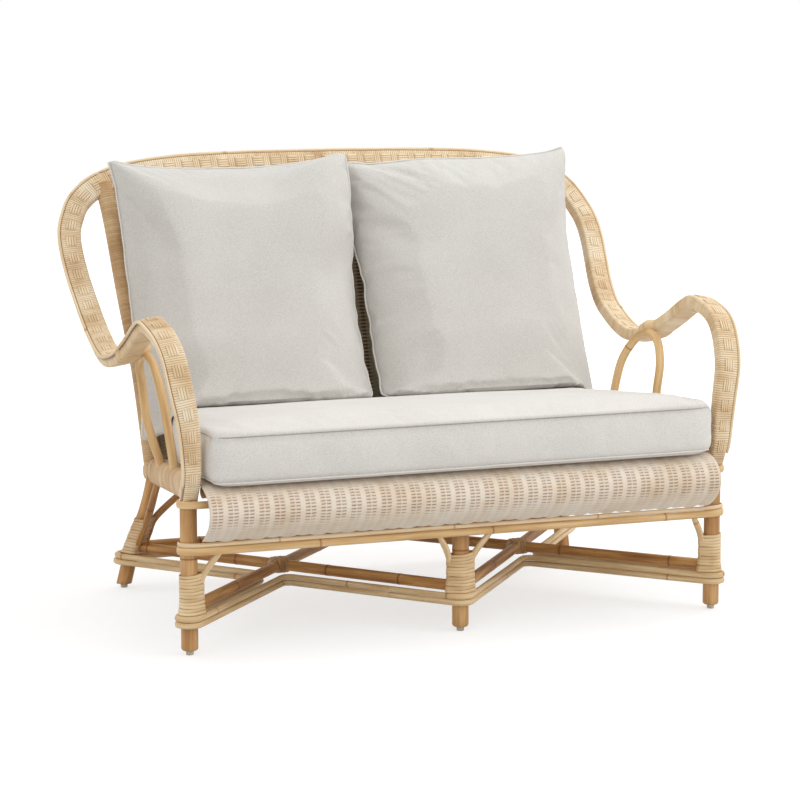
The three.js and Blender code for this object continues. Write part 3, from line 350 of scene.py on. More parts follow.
def sweptPiece(name, sweeps, material, slotName, replaced=(), body="frame", loopBack=False, change=None):
    bm = bmesh.new()
    for rings in sweeps:
        sweep(bm, rings, loopBack)
    if change:
        change(bm)
    bmesh.ops.recalc_face_normals(bm, faces=bm.faces)
    return newPiece(name, bm, material, body, slotName, replaced)


def ringShape(count, across=1.0, face=1.0, power=2.0):
    # An oval, or a rounded rectangle at higher powers
    shape = []
    for i in range(count):
        turn = 2 * math.pi * i / count
        a, b = [math.copysign(abs(part) ** (2 / power), part) for part in (math.cos(turn), math.sin(turn))]
        shape.append((a * across, b * face))
    return shape


def around(centre, across, face, shape):
    return [centre + across * a + face * b for a, b in shape]


def otherHalf(rings, end, lastStrip=None):
    # The rings past the sofa's middle, which mirror those before it
    made = []
    for positions, length, painted in reversed(rings):
        strip = {"strip": lastStrip - painted["strip"]} if lastStrip else {}
        made.append((mirrored(positions, -1), 2 * end - length, {**painted, **strip}))
    return made


def jointSpots(total, seed, spacing):
    chance = random.Random(seed)
    spots, here = [], chance.uniform(0.03, spacing)
    while here < total - 0.01:
        spots.append(here)
        here += chance.uniform(0.8, 1.25) * spacing
    return spots


def canePiece(name, points, radius, material, slotName, replaced, sides=18, spacing=0.24, across=(0, 0, 1),
              taper=None, rounding=0.0012, smoothed=True, change=None):
    # A rattan pole or cane: slightly swollen at its joints, with a darker ring at each and softly cut ends
    joint = {"step": 0.012, "swell": 0.035, "reach": 0.004, "ring": 0.0016, "cutBack": 0.16,
             "near": (-0.006, -0.0025, -0.001, 0, 0.001, 0.0025, 0.006)}
    route = Route(splinePoints(points) if smoothed and len(points) > 2 else points, across)
    spots = jointSpots(route.total, name, spacing)
    steps = max(int(route.total / joint["step"]), 1)
    lengths = {route.total * i / steps for i in range(1, steps)}
    for end, inward in ((0, 1), (route.total, -1)):
        lengths |= {end + inward * share * rounding for share in (0, 0.2, 0.5, 1)}
    for spot in spots:
        lengths |= {spot + offset for offset in joint["near"] if 0 < spot + offset < route.total}
    rings = []
    for length in sorted(lengths):
        centre, tangent, way, face = route.frame(length)
        gap = min((abs(length - spot) for spot in spots), default=1)
        edge = min(length, route.total - length) / rounding
        size = radius * (1 + joint["swell"] * math.exp(-(gap / joint["reach"]) ** 2))
        size *= 1 - joint["cutBack"] * (1 - min(edge, 1)) ** 2
        size *= taper(length / route.total) if taper else 1
        rings.append((around(centre, way, face, ringShape(sides, size, size)), length,
                      {"joint": math.exp(-(gap / joint["ring"]) ** 2)}))
    return sweptPiece(name, [rings], material, slotName, replaced, change=change)


# Poles of the base. Lengths in metres, y from the line of the front legs
legSizes = {"x": 0.525, "foot": 0.0088, "top": 0.2852, "middleTop": 0.2823, "radius": 0.0155, "sides": 32}
legX = legSizes["x"]
frontLegs = (("left", -legX, "top"), ("middle", 0, "middleTop"), ("right", legX, "top"))
for name, x, top in frontLegs:
    canePiece(f"front_leg_pole_{name}", [at(x, 0, legSizes[end]) for end in ("foot", top)], legSizes["radius"],
              legCane, "cane", [f"front_leg_{name}"], sides=legSizes["sides"], spacing=0.31, across=(1, 0, 0),
              rounding=0.004)

railEnd = (0.437, 0.532, 0.245)  # where the back rail, rear leg, side band and back post meet
rearSizes = {"radius": 0.015, "foot": (0.485, 0.596, 0.0085), "sunk": 0.012,
             "shares": [(1, 1, 0), (0.66, 0.75, 0.34), (0.24, 0.3, 0.66), (0.03, 0.04, 0.92), (0, 0, 1)]}
rearFoot = rearSizes["foot"]
rearPoints = between((*railEnd[:2], rearFoot[2]), (*rearFoot[:2], railEnd[2]), rearSizes["shares"])
rearRoute = Route(splinePoints(rearPoints), (1, 0, 0))


def rearLegAt(height):
    low, high = 0, rearRoute.total
    for _ in range(24):
        middle = (low + high) / 2
        low, high = (middle, high) if rearRoute.frame(middle)[0].z < height else (low, middle)
    return rearRoute.frame(low)


def cutLevel(bm):
    # The raked leg is cut level at its foot
    bmesh.ops.bisect_plane(bm, geom=bm.verts[:] + bm.edges[:] + bm.faces[:], plane_co=(0, 0, legSizes["foot"]),
                           plane_no=(0, 0, -1), clear_outer=True)
    bmesh.ops.holes_fill(bm, edges=[e for e in bm.edges if e.is_boundary], sides=0)


for name, side in bothSides:
    points = mirrored([rearPoints[0] - rearRoute.tangents[0] * rearSizes["sunk"]] + rearPoints, side)
    canePiece(f"rear_leg_pole_{name}", points, rearSizes["radius"], darkCane, "bark_cane",
              [f"rear_leg_{name}"], sides=28, spacing=0.17, across=(1, 0, 0), change=cutLevel)

glide = {"radius": 0.0075, "height": 0.0085, "bevel": 0.0012, "footShare": 0.9}
feet = [(f"front_{name}", x, 0) for name, x, _ in frontLegs]
feet += [(f"rear_{name}", rearFoot[0] * side, rearFoot[1]) for name, side in bothSides]
for name, x, y in feet:
    bm = bmesh.new()
    bmesh.ops.create_cone(bm, cap_ends=True, segments=32, radius1=glide["radius"] * glide["footShare"],
                          radius2=glide["radius"], depth=glide["height"])
    bmesh.ops.translate(bm, verts=bm.verts, vec=at(x, y, glide["height"] / 2))
    rims = [e for e in bm.edges if len(e.link_faces) == 2 and e.calc_face_angle() > 1]
    bmesh.ops.bevel(bm, geom=rims, offset=glide["bevel"], segments=3, profile=0.5, affect="EDGES", material=-1)
    newPiece(f"glide_foot_{name}", bm, glideMaterial, "frame", "glide", [f"foot_glide_{name}"])

stretcher = {"height": 0.085, "radius": 0.0105, "frontX": 0.522, "frontIn": 0.003, "backX": 0.008,
             "backIn": 0.002, "crossX": 0.009, "crossIn": 0.004}
level = stretcher["height"]
rearEnd = rearLegAt(level)[0]
rearDepth = rearEnd.y - legLine
for name, side in bothSides:
    ends = {"front": [at(stretcher["frontX"] * side, stretcher["frontIn"], level),
                      at(stretcher["backX"] * side, rearDepth - stretcher["backIn"], level)],
            "cross": [Vector((rearEnd.x * side, rearEnd.y, level)),
                      at(stretcher["crossX"] * side, stretcher["crossIn"], level)]}
    for way, points in ends.items():
        canePiece(f"stretcher_{way}_pole_{name}", points, stretcher["radius"], darkCane, "bark_cane",
                  [f"stretcher_{way}_{name}"], sides=22, spacing=0.19)
canePiece("stretcher_back_pole", [Vector((side * rearEnd.x, rearEnd.y, level)) for _, side in bothSides],
          stretcher["radius"], darkCane, "bark_cane", ["stretcher_back"], sides=22, spacing=0.23)

seatPole = {"radius": 0.0119, "half": 0.5, "height": 0.2946, "crossFrom": 0.006, "crossTo": (0.52, 0.2515)}
canePiece("seat_front_pole", [at(side * seatPole["half"], 0, seatPole["height"]) for _, side in bothSides],
          seatPole["radius"], legCane, "cane", ["seat_front_rail"])
canePiece("seat_cross_pole", [at(0, seatPole["crossFrom"], seatPole["height"]), at(0, *seatPole["crossTo"])],
          seatPole["radius"], darkCane, "bark_cane", ["seat_cross_rail"])
print("poles made")


# Canes hooked round the end legs, and the stacked loops under the stretchers
def arcPoints(centre, radius, fromTurn, toTurn, steps):
    turns = [mix(fromTurn, toTurn, i / steps) for i in range(steps + 1)]
    return [Vector((centre.x + radius * math.cos(turn), centre.y + radius * math.sin(turn), centre.z))
            for turn in turns]


hook = {"turn": math.radians(215), "thinShare": 0.45, "clear": 0.0003, "inside": 0.012, "pared": 0.016,
        "steps": 90}
for name, node, radius, height, offset, slotName, material in (
        ("seat_edge", "seat_edge_cane", 0.007, 0.2753, 0.0228, "cane", loopTan),
        ("apron_rail", "apron_rail", 0.0073, 0.191, 0.0231, "cane", loopTan),
        ("apron_edge", "apron_edge_cane", 0.004, 0.2026, 0.0231, "edge_cane", edgeCane)):
    left = arcPoints(at(-legX, 0, height), offset, -hook["turn"], -quarter, 20)
    right = mirrored(left, -1)[::-1]
    points = left + [left[-1].lerp(right[0], i / hook["steps"]) for i in range(1, hook["steps"])] + right
    piece = canePiece(f"{name}_hooked_cane", points, radius, material, slotName, [node], sides=16,
                      spacing=0.33, smoothed=False)
    # Where the cane goes round a leg it is pared down and pulled tight against the leg
    for v in piece.data.vertices:
        outward = math.copysign(1, v.co.x)
        out = v.co - at(outward * legX, 0, height)
        out.z = 0
        pared = ease((out.x * outward + hook["inside"]) / hook["pared"]) if abs(v.co.x) > 0.5 else 0
        if out.length > legSizes["radius"] and pared:
            gap = out.length - legSizes["radius"] - hook["clear"]
            v.co -= out.normalized() * gap * pared * (1 - hook["thinShare"])


def turnBetween(a, b):
    return math.atan2(b.y - a.y, b.x - a.x)


def roundedTip(before, tip, after, reach=0.017):
    start, end = tip + (before - tip).normalized() * reach, tip + (after - tip).normalized() * reach
    return [start.lerp(tip, s).lerp(tip.lerp(end, s), s) for s in [i / 10 for i in range(11)]]


loopSizes = {"radius": 0.0057, "upper": 0.0685, "lower": 0.0568, "legOffset": 0.0215, "rearOffset": 0.0272,
             "tip": 0.034, "scarfGap": 0.003}
frontEnd, farEnd, crossEnd = at(legX, 0, 0), at(stretcher["backX"], rearDepth, 0), at(stretcher["backX"], 0, 0)
rise, run = frontEnd - farEnd, Vector((rearEnd.x, rearEnd.y, 0)) - crossEnd
ahead = crossEnd - farEnd
crossing = farEnd + rise * ((run.x * ahead.y - run.y * ahead.x) / (run.x * rise.y - run.y * rise.x))
for level in ("upper", "lower"):
    height = loopSizes[level]
    rear, front, middle = rearLegAt(height)[0], at(legX, 0, height), at(0, 0, height)
    tip = Vector((crossing.x, crossing.y, height))
    sideTip, frontTip = tip + Vector((loopSizes["tip"], 0, 0)), tip - Vector((0, loopSizes["tip"], 0))
    outer = [Vector((0.0003, rear.y + loopSizes["rearOffset"], height)),
             *arcPoints(rear, loopSizes["rearOffset"], quarter, turnBetween(rear, sideTip) + quarter, 12),
             *roundedTip(rear, sideTip, front),
             *arcPoints(front, loopSizes["legOffset"], turnBetween(sideTip, front) + quarter,
                        turnBetween(front, frontTip) + quarter - 2 * math.pi, 16),
             *roundedTip(front, frontTip, middle)]
    reach = turnBetween(outer[-1], middle) + quarter
    bend = arcPoints(middle, loopSizes["legOffset"], reach, -math.pi - reach, 10)
    left = mirrored(outer, -1)[::-1]
    scarf = bend[-1].lerp(left[0], 0.4)
    left.insert(0, scarf.lerp(left[0], loopSizes["scarfGap"]))
    for name, points in (("right", outer + bend + [scarf]), ("left", left)):
        canePiece(f"loop_cane_{level}_{name}", points, loopSizes["radius"], paleCane, "cane",
                  [f"stretcher_loop_{level}_{name}"], sides=14, spacing=0.41, smoothed=False)

# Brackets bent from the leg bindings up to the rails
bracket = {"front": 0.006, "rear": 0.007, "beside": 0.0218, "out": 0.054, "forward": -0.0231, "foot": 0.1018,
           "top": 0.191, "rearBeside": 0.0223, "rearShares": (0.35, 0.65, 1), "tipShare": 0.72,
           "shares": ((0, 0, 0), (0, 0, 0.35), (0.3, 0.35, 0.61), (1, 1, 1)),
           "side": (0.4544, 0.427, 0.2572), "back": (0.319, *railEnd[1:])}
binding = {"foot": 0.0745, "top": 0.1475, "thick": 0.0024, "ridge": 0.0006, "turns": 12, "sides": 36,
           "flare": 0.0028, "slant": 0.0012, "frontCane": 0.0039, "rear": 0.0159, "rearCane": 0.0046,
           "rearAt": 0.111, "tilt": 0.002, "halfAcross": 0.02}
rearWays = (("side", Vector((0, -1, 0))), ("back", Vector((-1, 0, 0))))


def besideLeg(tangent, direction):
    return (direction - tangent * direction.dot(tangent)).normalized() * bracket["rearBeside"]


def thinning(share):
    # A front bracket is pared thinner over its last quarter
    return mix(1, bracket["tipShare"], max(share - 0.75, 0) * 4)


for name, x, side in (("front_left", -legX, 1), ("middle_left", 0, -1), ("middle_right", 0, 1),
                      ("front_right", legX, -1)):
    points = between((x + side * bracket["beside"], 0, bracket["foot"]),
                     (x + side * bracket["out"], bracket["forward"], bracket["top"]), bracket["shares"])
    canePiece(f"bracket_cane_{name}", points, bracket["front"], paleCane, "cane", [f"bracket_{name}"],
              sides=14, spacing=0.3, across=(1, 0, 0), taper=thinning)
for way, direction in rearWays:
    points = []
    for share in bracket["rearShares"]:
        centre, tangent, _, _ = rearLegAt(mix(binding["foot"], binding["top"], share))
        points.append(centre + besideLeg(tangent, direction))
    points.append(at(*bracket[way]))
    for name, side in bothSides:
        # The rear brackets take the darker skin-on pole: painted shade under the seat
        canePiece(f"bracket_cane_rear_{way}_{name}", mirrored(points, side), bracket["rear"], darkCane, "cane",
                  [f"bracket_rear_{way}_{name}"], sides=14, spacing=0.2, across=(1, 0, 0))
print("canes and brackets made")


# Poles wound with peel: one shallow swell and one groove for each turn, with painted shade laid in the groove
def woundPiece(name, start, end, ringOf, pitch, look, material, slotName, replaced, mirroredHalf=False,
               shade=None):
    turns = round((end - start) / pitch)
    steps = ((0, -1, look.get("line", 0.6)), (0.13, 0.2, 0), (0.5, 1, 0), (0.87, 0.2, 0))
    rings = []
    for turn in range(turns + 1):
        for share, lift, grooveShade in steps:
            length = start + (turn + share) / turns * (end - start)
            if share == 0 and turn in (0, turns):
                lift, grooveShade = 0, 0
            if turn == turns and share:
                break
            # shade adds painted shade to some columns round the ring
            grooveShades = [max(grooveShade, s) for s in shade] if shade else grooveShade
            rings.append((ringOf(length, lift * look["ridge"]), length, {"strip": turn, "grooveShade": grooveShades}))
    if mirroredHalf:
        rings += otherHalf(rings[:-1], end, 2 * turns)
    return sweptPiece(name, [rings], material, slotName, replaced)


post = {"radius": 0.0188, "pitch": 0.0047, "ridge": 0.0002, "sides": 26, "top": (0.4828, 0.7136, 0.8038),
        "shares": [(0, 0, 0), (0.26, 0.28, 0.36), (0.52, 0.56, 0.6), (0.83, 0.86, 0.89), (1, 1, 1)]}
postPoints = splinePoints(between(railEnd, post["top"], post["shares"]))
band = {"across": 0.015, "up": 0.025, "pitch": 0.0042, "ridge": 0.0003, "sides": 30, "front": (legX, 0, 0.307),
        "frontGap": 0.006, "rearGap": 0.004, "thinShare": 0.8, "thinReach": 0.02}
for name, side in bothSides:
    route = Route(mirrored(postPoints, side), (1, 0, 0))

    def postRing(length, lift):
        centre, tangent, across, face = route.frame(length)
        radius = post["radius"] + lift
        return around(centre, across, face, ringShape(post["sides"], radius, radius))

    woundPiece(f"wound_post_{name}", 0, route.total, postRing, post["pitch"], post, bandPeel, "peel",
               [f"back_post_{name}"])
    bandRoute = Route(mirrored([at(*band["front"]), at(*railEnd)], side), (1, 0, 0))

    def bandRing(length, lift):
        centre, tangent, across, face = bandRoute.frame(length)
        beside = tangent.cross(Vector((0, 0, 1))).normalized()
        swell = mix(band["thinShare"], 1, min(length / band["thinReach"], 1))
        return around(centre, beside, beside.cross(tangent),
                      ringShape(band["sides"], band["across"] * swell + lift, band["up"] * swell + lift, 2.3))

    woundPiece(f"wound_side_band_{name}", band["frontGap"], bandRoute.total - band["rearGap"], bandRing,
               band["pitch"], band, bandPeel, "peel", [f"seat_side_band_{name}"])

rail = {"radius": 0.0177, "half": 0.457, "pitch": 0.005, "ridge": 0.0003, "sides": 26, "thinShare": 0.72,
        "thinReach": 0.006}
railRoute = Route([at(side * rail["half"], *railEnd[1:]) for _, side in bothSides], (0, 0, 1))


def railRing(length, lift):
    centre, tangent, across, face = railRoute.frame(length)
    edge = min(length, railRoute.total - length, rail["thinReach"]) / rail["thinReach"]
    size = (rail["radius"] + lift) * mix(rail["thinShare"], 1, math.sqrt(edge))
    return around(centre, across, face, ringShape(rail["sides"], size, size))


woundPiece("wound_back_rail", 0, railRoute.total, railRing, rail["pitch"], rail, bandPeel, "peel",
           ["seat_back_rail"])
print("wound poles made")


# Peel bindings round the legs: flat strips pulled over the pole and the bracket ends beside it, with painted
# shade in the groove between turns
def stretchedRing(circles, count, extra):
    ring = []
    for i in range(count):
        way = Vector((math.cos(2 * math.pi * i / count), math.sin(2 * math.pi * i / count)))
        x, y, radius = max(circles, key=lambda c: c[0] * way.x + c[1] * way.y + c[2])
        ring.append((x + way.x * (radius + extra), y + way.y * (radius + extra)))
    return ring


def softened(bm):
    for _ in range(2):
        bmesh.ops.smooth_vert(bm, verts=bm.verts, factor=0.12, use_axis_x=True, use_axis_y=True)


def legBinding(name, centreAt, circles, material, replaced):
    rings = []
    for turn in range(binding["turns"] + 1):
        for share, lift, grooveShade in ((0, -1.4, 0.9), (0.1, 0.3, 0), (0.5, 1, 0), (0.9, 0.3, 0)):
            if turn == binding["turns"] and share:
                break
            rise = (turn + share) / binding["turns"]
            height = mix(binding["foot"], binding["top"], rise)
            flare = binding["flare"] * max(0, 1 - rise * 2.2) ** 2
            slant = binding["slant"] * math.sin(turn * 2.1) + binding["tilt"] * rise ** 6
            thick = binding["thick"] + flare + lift * binding["ridge"]
            outline = stretchedRing(circles, binding["sides"], thick)
            centre = centreAt(height)
            positions = [centre + Vector((x, y, slant * x / binding["halfAcross"])) for x, y in outline]
            rings.append((positions, height, {"strip": turn, "grooveShade": grooveShade}))
    sweptPiece(name, [rings], material, "peel_ribbon", replaced, change=softened)


for name, x, ways in (("left", -legX, (1,)), ("middle", 0, (-1, 1)), ("right", legX, (-1,))):
    circles = [(0, 0, legSizes["radius"])] + [(way * bracket["beside"], 0, binding["frontCane"]) for way in ways]
    legBinding(f"peel_binding_front_{name}", lambda height, x=x: at(x, 0, height), circles, woundPeel,
               [f"leg_binding_front_{name}"])
rearTangent = rearLegAt(binding["rearAt"])[1]
for name, side in bothSides:
    circles = [(0, 0, binding["rear"])]
    for way, direction in rearWays:
        beside = besideLeg(rearTangent, direction)
        circles.append((beside.x * side, beside.y, binding["rearCane"]))
    # The rear bindings take the darker peel: painted shade under the seat
    legBinding(f"peel_binding_rear_{name}",
               lambda height, side=side: mirrored([rearLegAt(height)[0]], side)[0], circles, bandPeel,
               [f"leg_binding_rear_{name}"])


# Bindings over the crossings: bands of peel that run both ways over both poles
def crossingBinding(name, place, replaced):
    wrap = {"reach": 0.021, "rise": 0.0128, "width": 0.0030, "thick": 0.0013, "bands": 5, "spread": 0.0062,
            "over": 0.0011, "uneven": 0.0004, "roundness": 0.026, "steps": 40}
    sweeps = []
    for order, turn in enumerate((0, quarter)):
        way = Vector((math.cos(turn), math.sin(turn), 0))
        beside = Vector((-way.y, way.x, 0))
        for k in range(wrap["bands"]):
            shift = (k - (wrap["bands"] - 1) / 2) * wrap["spread"]
            grow = wrap["over"] * order + wrap["uneven"] * (k % 2)
            reach = wrap["reach"] * math.sqrt(1 - (shift / wrap["roundness"]) ** 2)
            loop = around(place + beside * shift, way, Vector((0, 0, 1)),
                          ringShape(wrap["steps"], reach + grow, wrap["rise"] + grow, 2.8))
            rings = []
            for i, point in enumerate(loop):
                out = (loop[(i + 1) % wrap["steps"]] - loop[i - 1]).normalized().cross(beside)
                positions = around(point, beside, out, ringShape(8, wrap["width"], wrap["thick"]))
                rings.append((positions, i * 0.0025, {"strip": k + 10 * order, "grooveShade": 0.0}))
            sweeps.append(rings)
    # The darker peel here is painted shade under the seat
    sweptPiece(name, sweeps, bandPeel, "peel_ribbon", replaced, loopBack=True)


for name, side in bothSides:
    crossingBinding(f"crossing_wrap_{name}", Vector((crossing.x * side, crossing.y, stretcher["height"])),
                    [f"crossing_binding_{name}"])
crossingBinding("crossing_wrap_back", Vector((0, rearEnd.y, stretcher["height"])), ["crossing_binding_back"])
print("bindings made")


# The woven ribbon: up from the front leg, over the arm, down into the dip, up the wing and along the back
ribbon = {"width": 0.043, "thick": 0.026, "footWidth": 0.031, "taperShare": 0.071, "armShare": 0.355,
          "edgeCane": 0.0031, "wrap": 0.0042, "line": 0.95, "ridge": 0.0004, "sides": 30, "cornering": 6,
          "under": 0.0006, "gap": 0.0003}
strips = {"count": 4, "width": 0.0051, "thick": 0.0013, "wraps": 9, "under": 3, "lift": 0.0011, "sink": 0.0020,
          "halfShare": 0.46, "endGap": 0.001, "armStart": 0.02,
          "hiddenShares": ((0.02, 0), (0.5, 0), (0.94, 0), (1.06, 0.55), (1.22, 0.95), (1.6, 1)),
          "shownShares": ((0.35, 1), (0.65, 1), (0.86, 0.95), (0.965, 0.55))}
bead = {"step": 0.008, "seated": 0.0014, "endShare": 0.6, "joints": 3.1, "joint": 0.008, "armStart": 0.03}
arm = {"foot": 0.2853, "behind": 0.285, "crest": 0.583, "crestDepth": 0.128, "forward": -0.025,
       "spread": 0.042, "dip": 0.489, "dipDepth": 0.4, "backTop": 0.839, "backFar": 0.714}
wide = (legX, legX + arm["spread"])
dipToBack = ((arm["dipDepth"], arm["backFar"]), (arm["dip"], arm["backTop"]))
# For each run: from and to across, in depth and in height, and the shares between them
ribbonRuns = [
    (wide, (0, arm["forward"]), (arm["foot"], arm["crest"]),
     [(0, 0, 0), (0, 0.8, 0.15), (0.04, 0.95, 0.28), (0.14, 1, 0.45), (0.37, 0.72, 0.65)]),
    (wide, (0, arm["crestDepth"]), (arm["behind"], arm["crest"]),
     [(0.51, 0.06, 0.835), (0.6, 0.3, 0.925), (0.65, 0.68, 0.98), (0.67, 1, 1)]),
    (wide, (arm["crestDepth"], arm["dipDepth"]), (arm["crest"], arm["dip"]),
     [(0.67, 0.13, 0.13), (0.66, 0.31, 0.39), (0.65, 0.5, 0.64), (0.65, 0.7, 0.86), (0.65, 1, 1)]),
    (wide, *dipToBack,
     [(0.65, 0.15, 0.025), (0.65, 0.3, 0.08), (0.66, 0.44, 0.15), (0.76, 0.575, 0.262), (0.9, 0.68, 0.38),
      (1, 0.79, 0.525), (0.93, 0.87, 0.63), (0.65, 0.93, 0.715)]),
    ((0, legX), *dipToBack,
     [(1.025, 0.972, 0.785), (0.97, 0.993, 0.86), (0.887, 1, 0.918), (0.78, 1, 0.955), (0.62, 1, 0.982),
      (0.38, 1.006, 0.996), (0.13, 1.01, 1)])]
ribbonPoints = []
for *spans, rows in ribbonRuns:
    ribbonPoints += between(*zip(*spans), rows)
ribbonRoute = Route(splinePoints(ribbonPoints + mirrored(ribbonPoints, -1)[::-1], steps=16), (1, 0, 0))
ribbonHalf = ribbonRoute.total / 2
armEnd = ribbonRoute.total * ribbon["armShare"]


def ribbonFrame(length):
    # The ribbon's middle and directions at a length, with half its width and half its thickness
    centre, tangent, across, face = ribbonRoute.frame(length)
    widen = ease(length / (ribbonRoute.total * ribbon["taperShare"]))
    half, deep = [mix(ribbon["footWidth"], ribbon[key], widen) / 2 for key in ("width", "thick")]
    return centre, across, face, half, deep


def ribbonPiece(name, side, start, end, replaced, mirroredHalf=False):
    def ringAt(length, lift):
        centre, across, face, half, deep = ribbonFrame(length)
        grow = lift - ribbon["under"]
        shape = ringShape(ribbon["sides"], half + grow, deep + grow, ribbon["cornering"])
        return mirrored(around(centre, across, face, shape), side)

    shade = [0.8 if a > 0.9 and b > 0 else 0 for a, b in ringShape(ribbon["sides"], power=ribbon["cornering"])]
    woundPiece(name, start, end, ringAt, ribbon["wrap"], ribbon, ribbonPeel, "peel_ribbon", replaced,
               mirroredHalf, shade)


def stripPiece(name, side, start, end, mirroredHalf=False):
    # The lengthwise strips, which rise over six wraps and dive under three; painted shade darkens them where
    # they dive and along their edges
    pitch = (end - start) / round((end - start) / ribbon["wrap"])
    block, hidden = pitch * strips["wraps"], pitch * strips["under"]
    places = []
    for b in range(int((end - start) / block) + 1):
        first = start + b * block
        places += [(first + share * hidden, height) for share, height in strips["hiddenShares"]]
        shown = block - hidden
        places += [(first + hidden + share * shown, height) for share, height in strips["shownShares"]]
    places = sorted(place for place in places if place[0] < end - strips["endGap"])
    section = ringShape(10, 1, strips["thick"] / 2, power=3)
    sweeps = []
    for k in range(strips["count"]):
        offset = (k - (strips["count"] - 1) / 2) * strips["width"]
        rings = []
        for length, height in places:
            centre, across, face, half, deep = ribbonFrame(length)
            shrink = half / (ribbon["width"] / 2)
            rise = deep - ribbon["under"] + mix(-strips["sink"], strips["lift"], height)
            positions = around(centre + across * offset * shrink + face * rise,
                               across * strips["width"] * strips["halfShare"] * shrink, face, section)
            rings.append((mirrored(positions, side), length, {
                "strip": 100 * k + int((length - start) / block),
                "grooveShade": [max(0.95 * (1 - height), 0.75 if abs(a) > 0.93 else 0) for a, b in section]}))
        sweeps.append(rings + otherHalf(rings, end) if mirroredHalf else rings)
    sweptPiece(name, sweeps, ribbonPeel, "peel_ribbon")


def edgePiece(name, side, start, end, replaced, mirroredHalf=False):
    rings = []
    radius = ribbon["edgeCane"]
    steps = int((end - start) / bead["step"])
    for i in range(steps + 1):
        length = mix(start, end, i / steps)
        centre, across, face, half, deep = ribbonFrame(length)
        middle = centre + across * (half + radius - bead["seated"]) + face * (deep - radius - ribbon["under"])
        size = radius * (bead["endShare"] if i in (0, steps) and not (mirroredHalf and i) else 1)
        joint = math.exp(-(((length * bead["joints"]) % 1 - 0.5) / bead["joint"]) ** 2)
        rings.append((mirrored(around(middle, across, face, ringShape(12, size, size)), side), length,
                      {"joint": joint}))
    if mirroredHalf:
        rings += otherHalf(rings[:-1], end)
    sweptPiece(name, [rings], edgeCane, "edge_cane", replaced)


for name, side in bothSides:
    ribbonPiece(f"arm_weave_{name}", side, 0, armEnd, [f"arm_ribbon_{name}"])
    stripPiece(f"arm_strips_{name}", side, strips["armStart"], armEnd)
    edgePiece(f"arm_bead_{name}", side, bead["armStart"], armEnd, [f"arm_edge_cane_{name}"])
backStart = armEnd + ribbon["gap"]
ribbonPiece("back_top_weave", 1, backStart, ribbonHalf, ["back_ribbon"], mirroredHalf=True)
stripPiece("back_top_strips", 1, backStart, ribbonHalf, mirroredHalf=True)
edgePiece("back_top_bead", 1, backStart, ribbonHalf, ["back_edge_cane"], mirroredHalf=True)
print("ribbons made")


# Arm loops and the peel that ties each to the ribbon over it
armLoop = {"radius": 0.0085, "front": (0.4965, 0.172, 0.287), "rear": (0.4663, 0.355, 0.2656),
           "crest": (0.5205, 0.284, 0.508),
           "frontShares": [(0, 0, 0), (0.3, 0.16, 0.45), (0.75, 0.2, 0.76), (1, 0.34, 0.95)],
           "rearShares": [(1, 0.15, 0.93), (0.75, -0.04, 0.74), (0.5, -0.11, 0.42), (0, 0, 0)]}
crestX, crestDepth, crestTop = armLoop["crest"]
loopPoints = [*between(armLoop["front"], (crestX, armLoop["rear"][1], crestTop), armLoop["frontShares"]),
              at(*armLoop["crest"]),
              *between(armLoop["rear"], (crestX, armLoop["front"][1], crestTop), armLoop["rearShares"])]
tie = {"length": 0.028, "turns": 5, "thick": 0.0016, "ridge": 0.0008, "line": 0.9, "sides": 36,
       "reach": 0.0176, "pinchShare": 0.62, "pastFront": 0.4, "above": 0.48, "steps": 2000, "tried": 700}
tried = [ribbonRoute.total * i / tie["steps"] for i in range(tie["tried"])]
tried = [length for length in tried
         if ribbonRoute.frame(length)[0].z > tie["above"] and length > tie["pastFront"]]
tieMiddle = min(tried, key=lambda length: abs(ribbonRoute.frame(length)[0].y - (crestDepth + legLine)))
for name, side in bothSides:
    canePiece(f"arm_loop_cane_{name}", mirrored(loopPoints, side), armLoop["radius"], loopTan, "cane",
              [f"arm_loop_{name}"], sides=20, spacing=0.36, across=(1, 0, 0))

    def tieRing(length, lift):
        centre, tangent, across, face = ribbonRoute.frame(length)
        half, deep = [ribbon[key] / 2 + tie["thick"] + lift for key in ("width", "thick")]
        positions = []
        for a, b in ringShape(tie["sides"], power=3.4):
            out = a * half - (tie["reach"] * min(-a * 1.6, 1) if a < 0 else 0)
            pinch = mix(tie["pinchShare"], 1, max(0, 1 + a * 0.9)) if a < 0 else 1
            positions.append(centre + across * out + face * b * deep * pinch)
        return mirrored(positions, side)

    woundPiece(f"arm_loop_tie_{name}", tieMiddle - tie["length"] / 2, tieMiddle + tie["length"] / 2, tieRing,
               tie["length"] / tie["turns"], tie, woundPeel, "peel_ribbon", [f"arm_loop_binding_{name}"])
print("arm loops made")


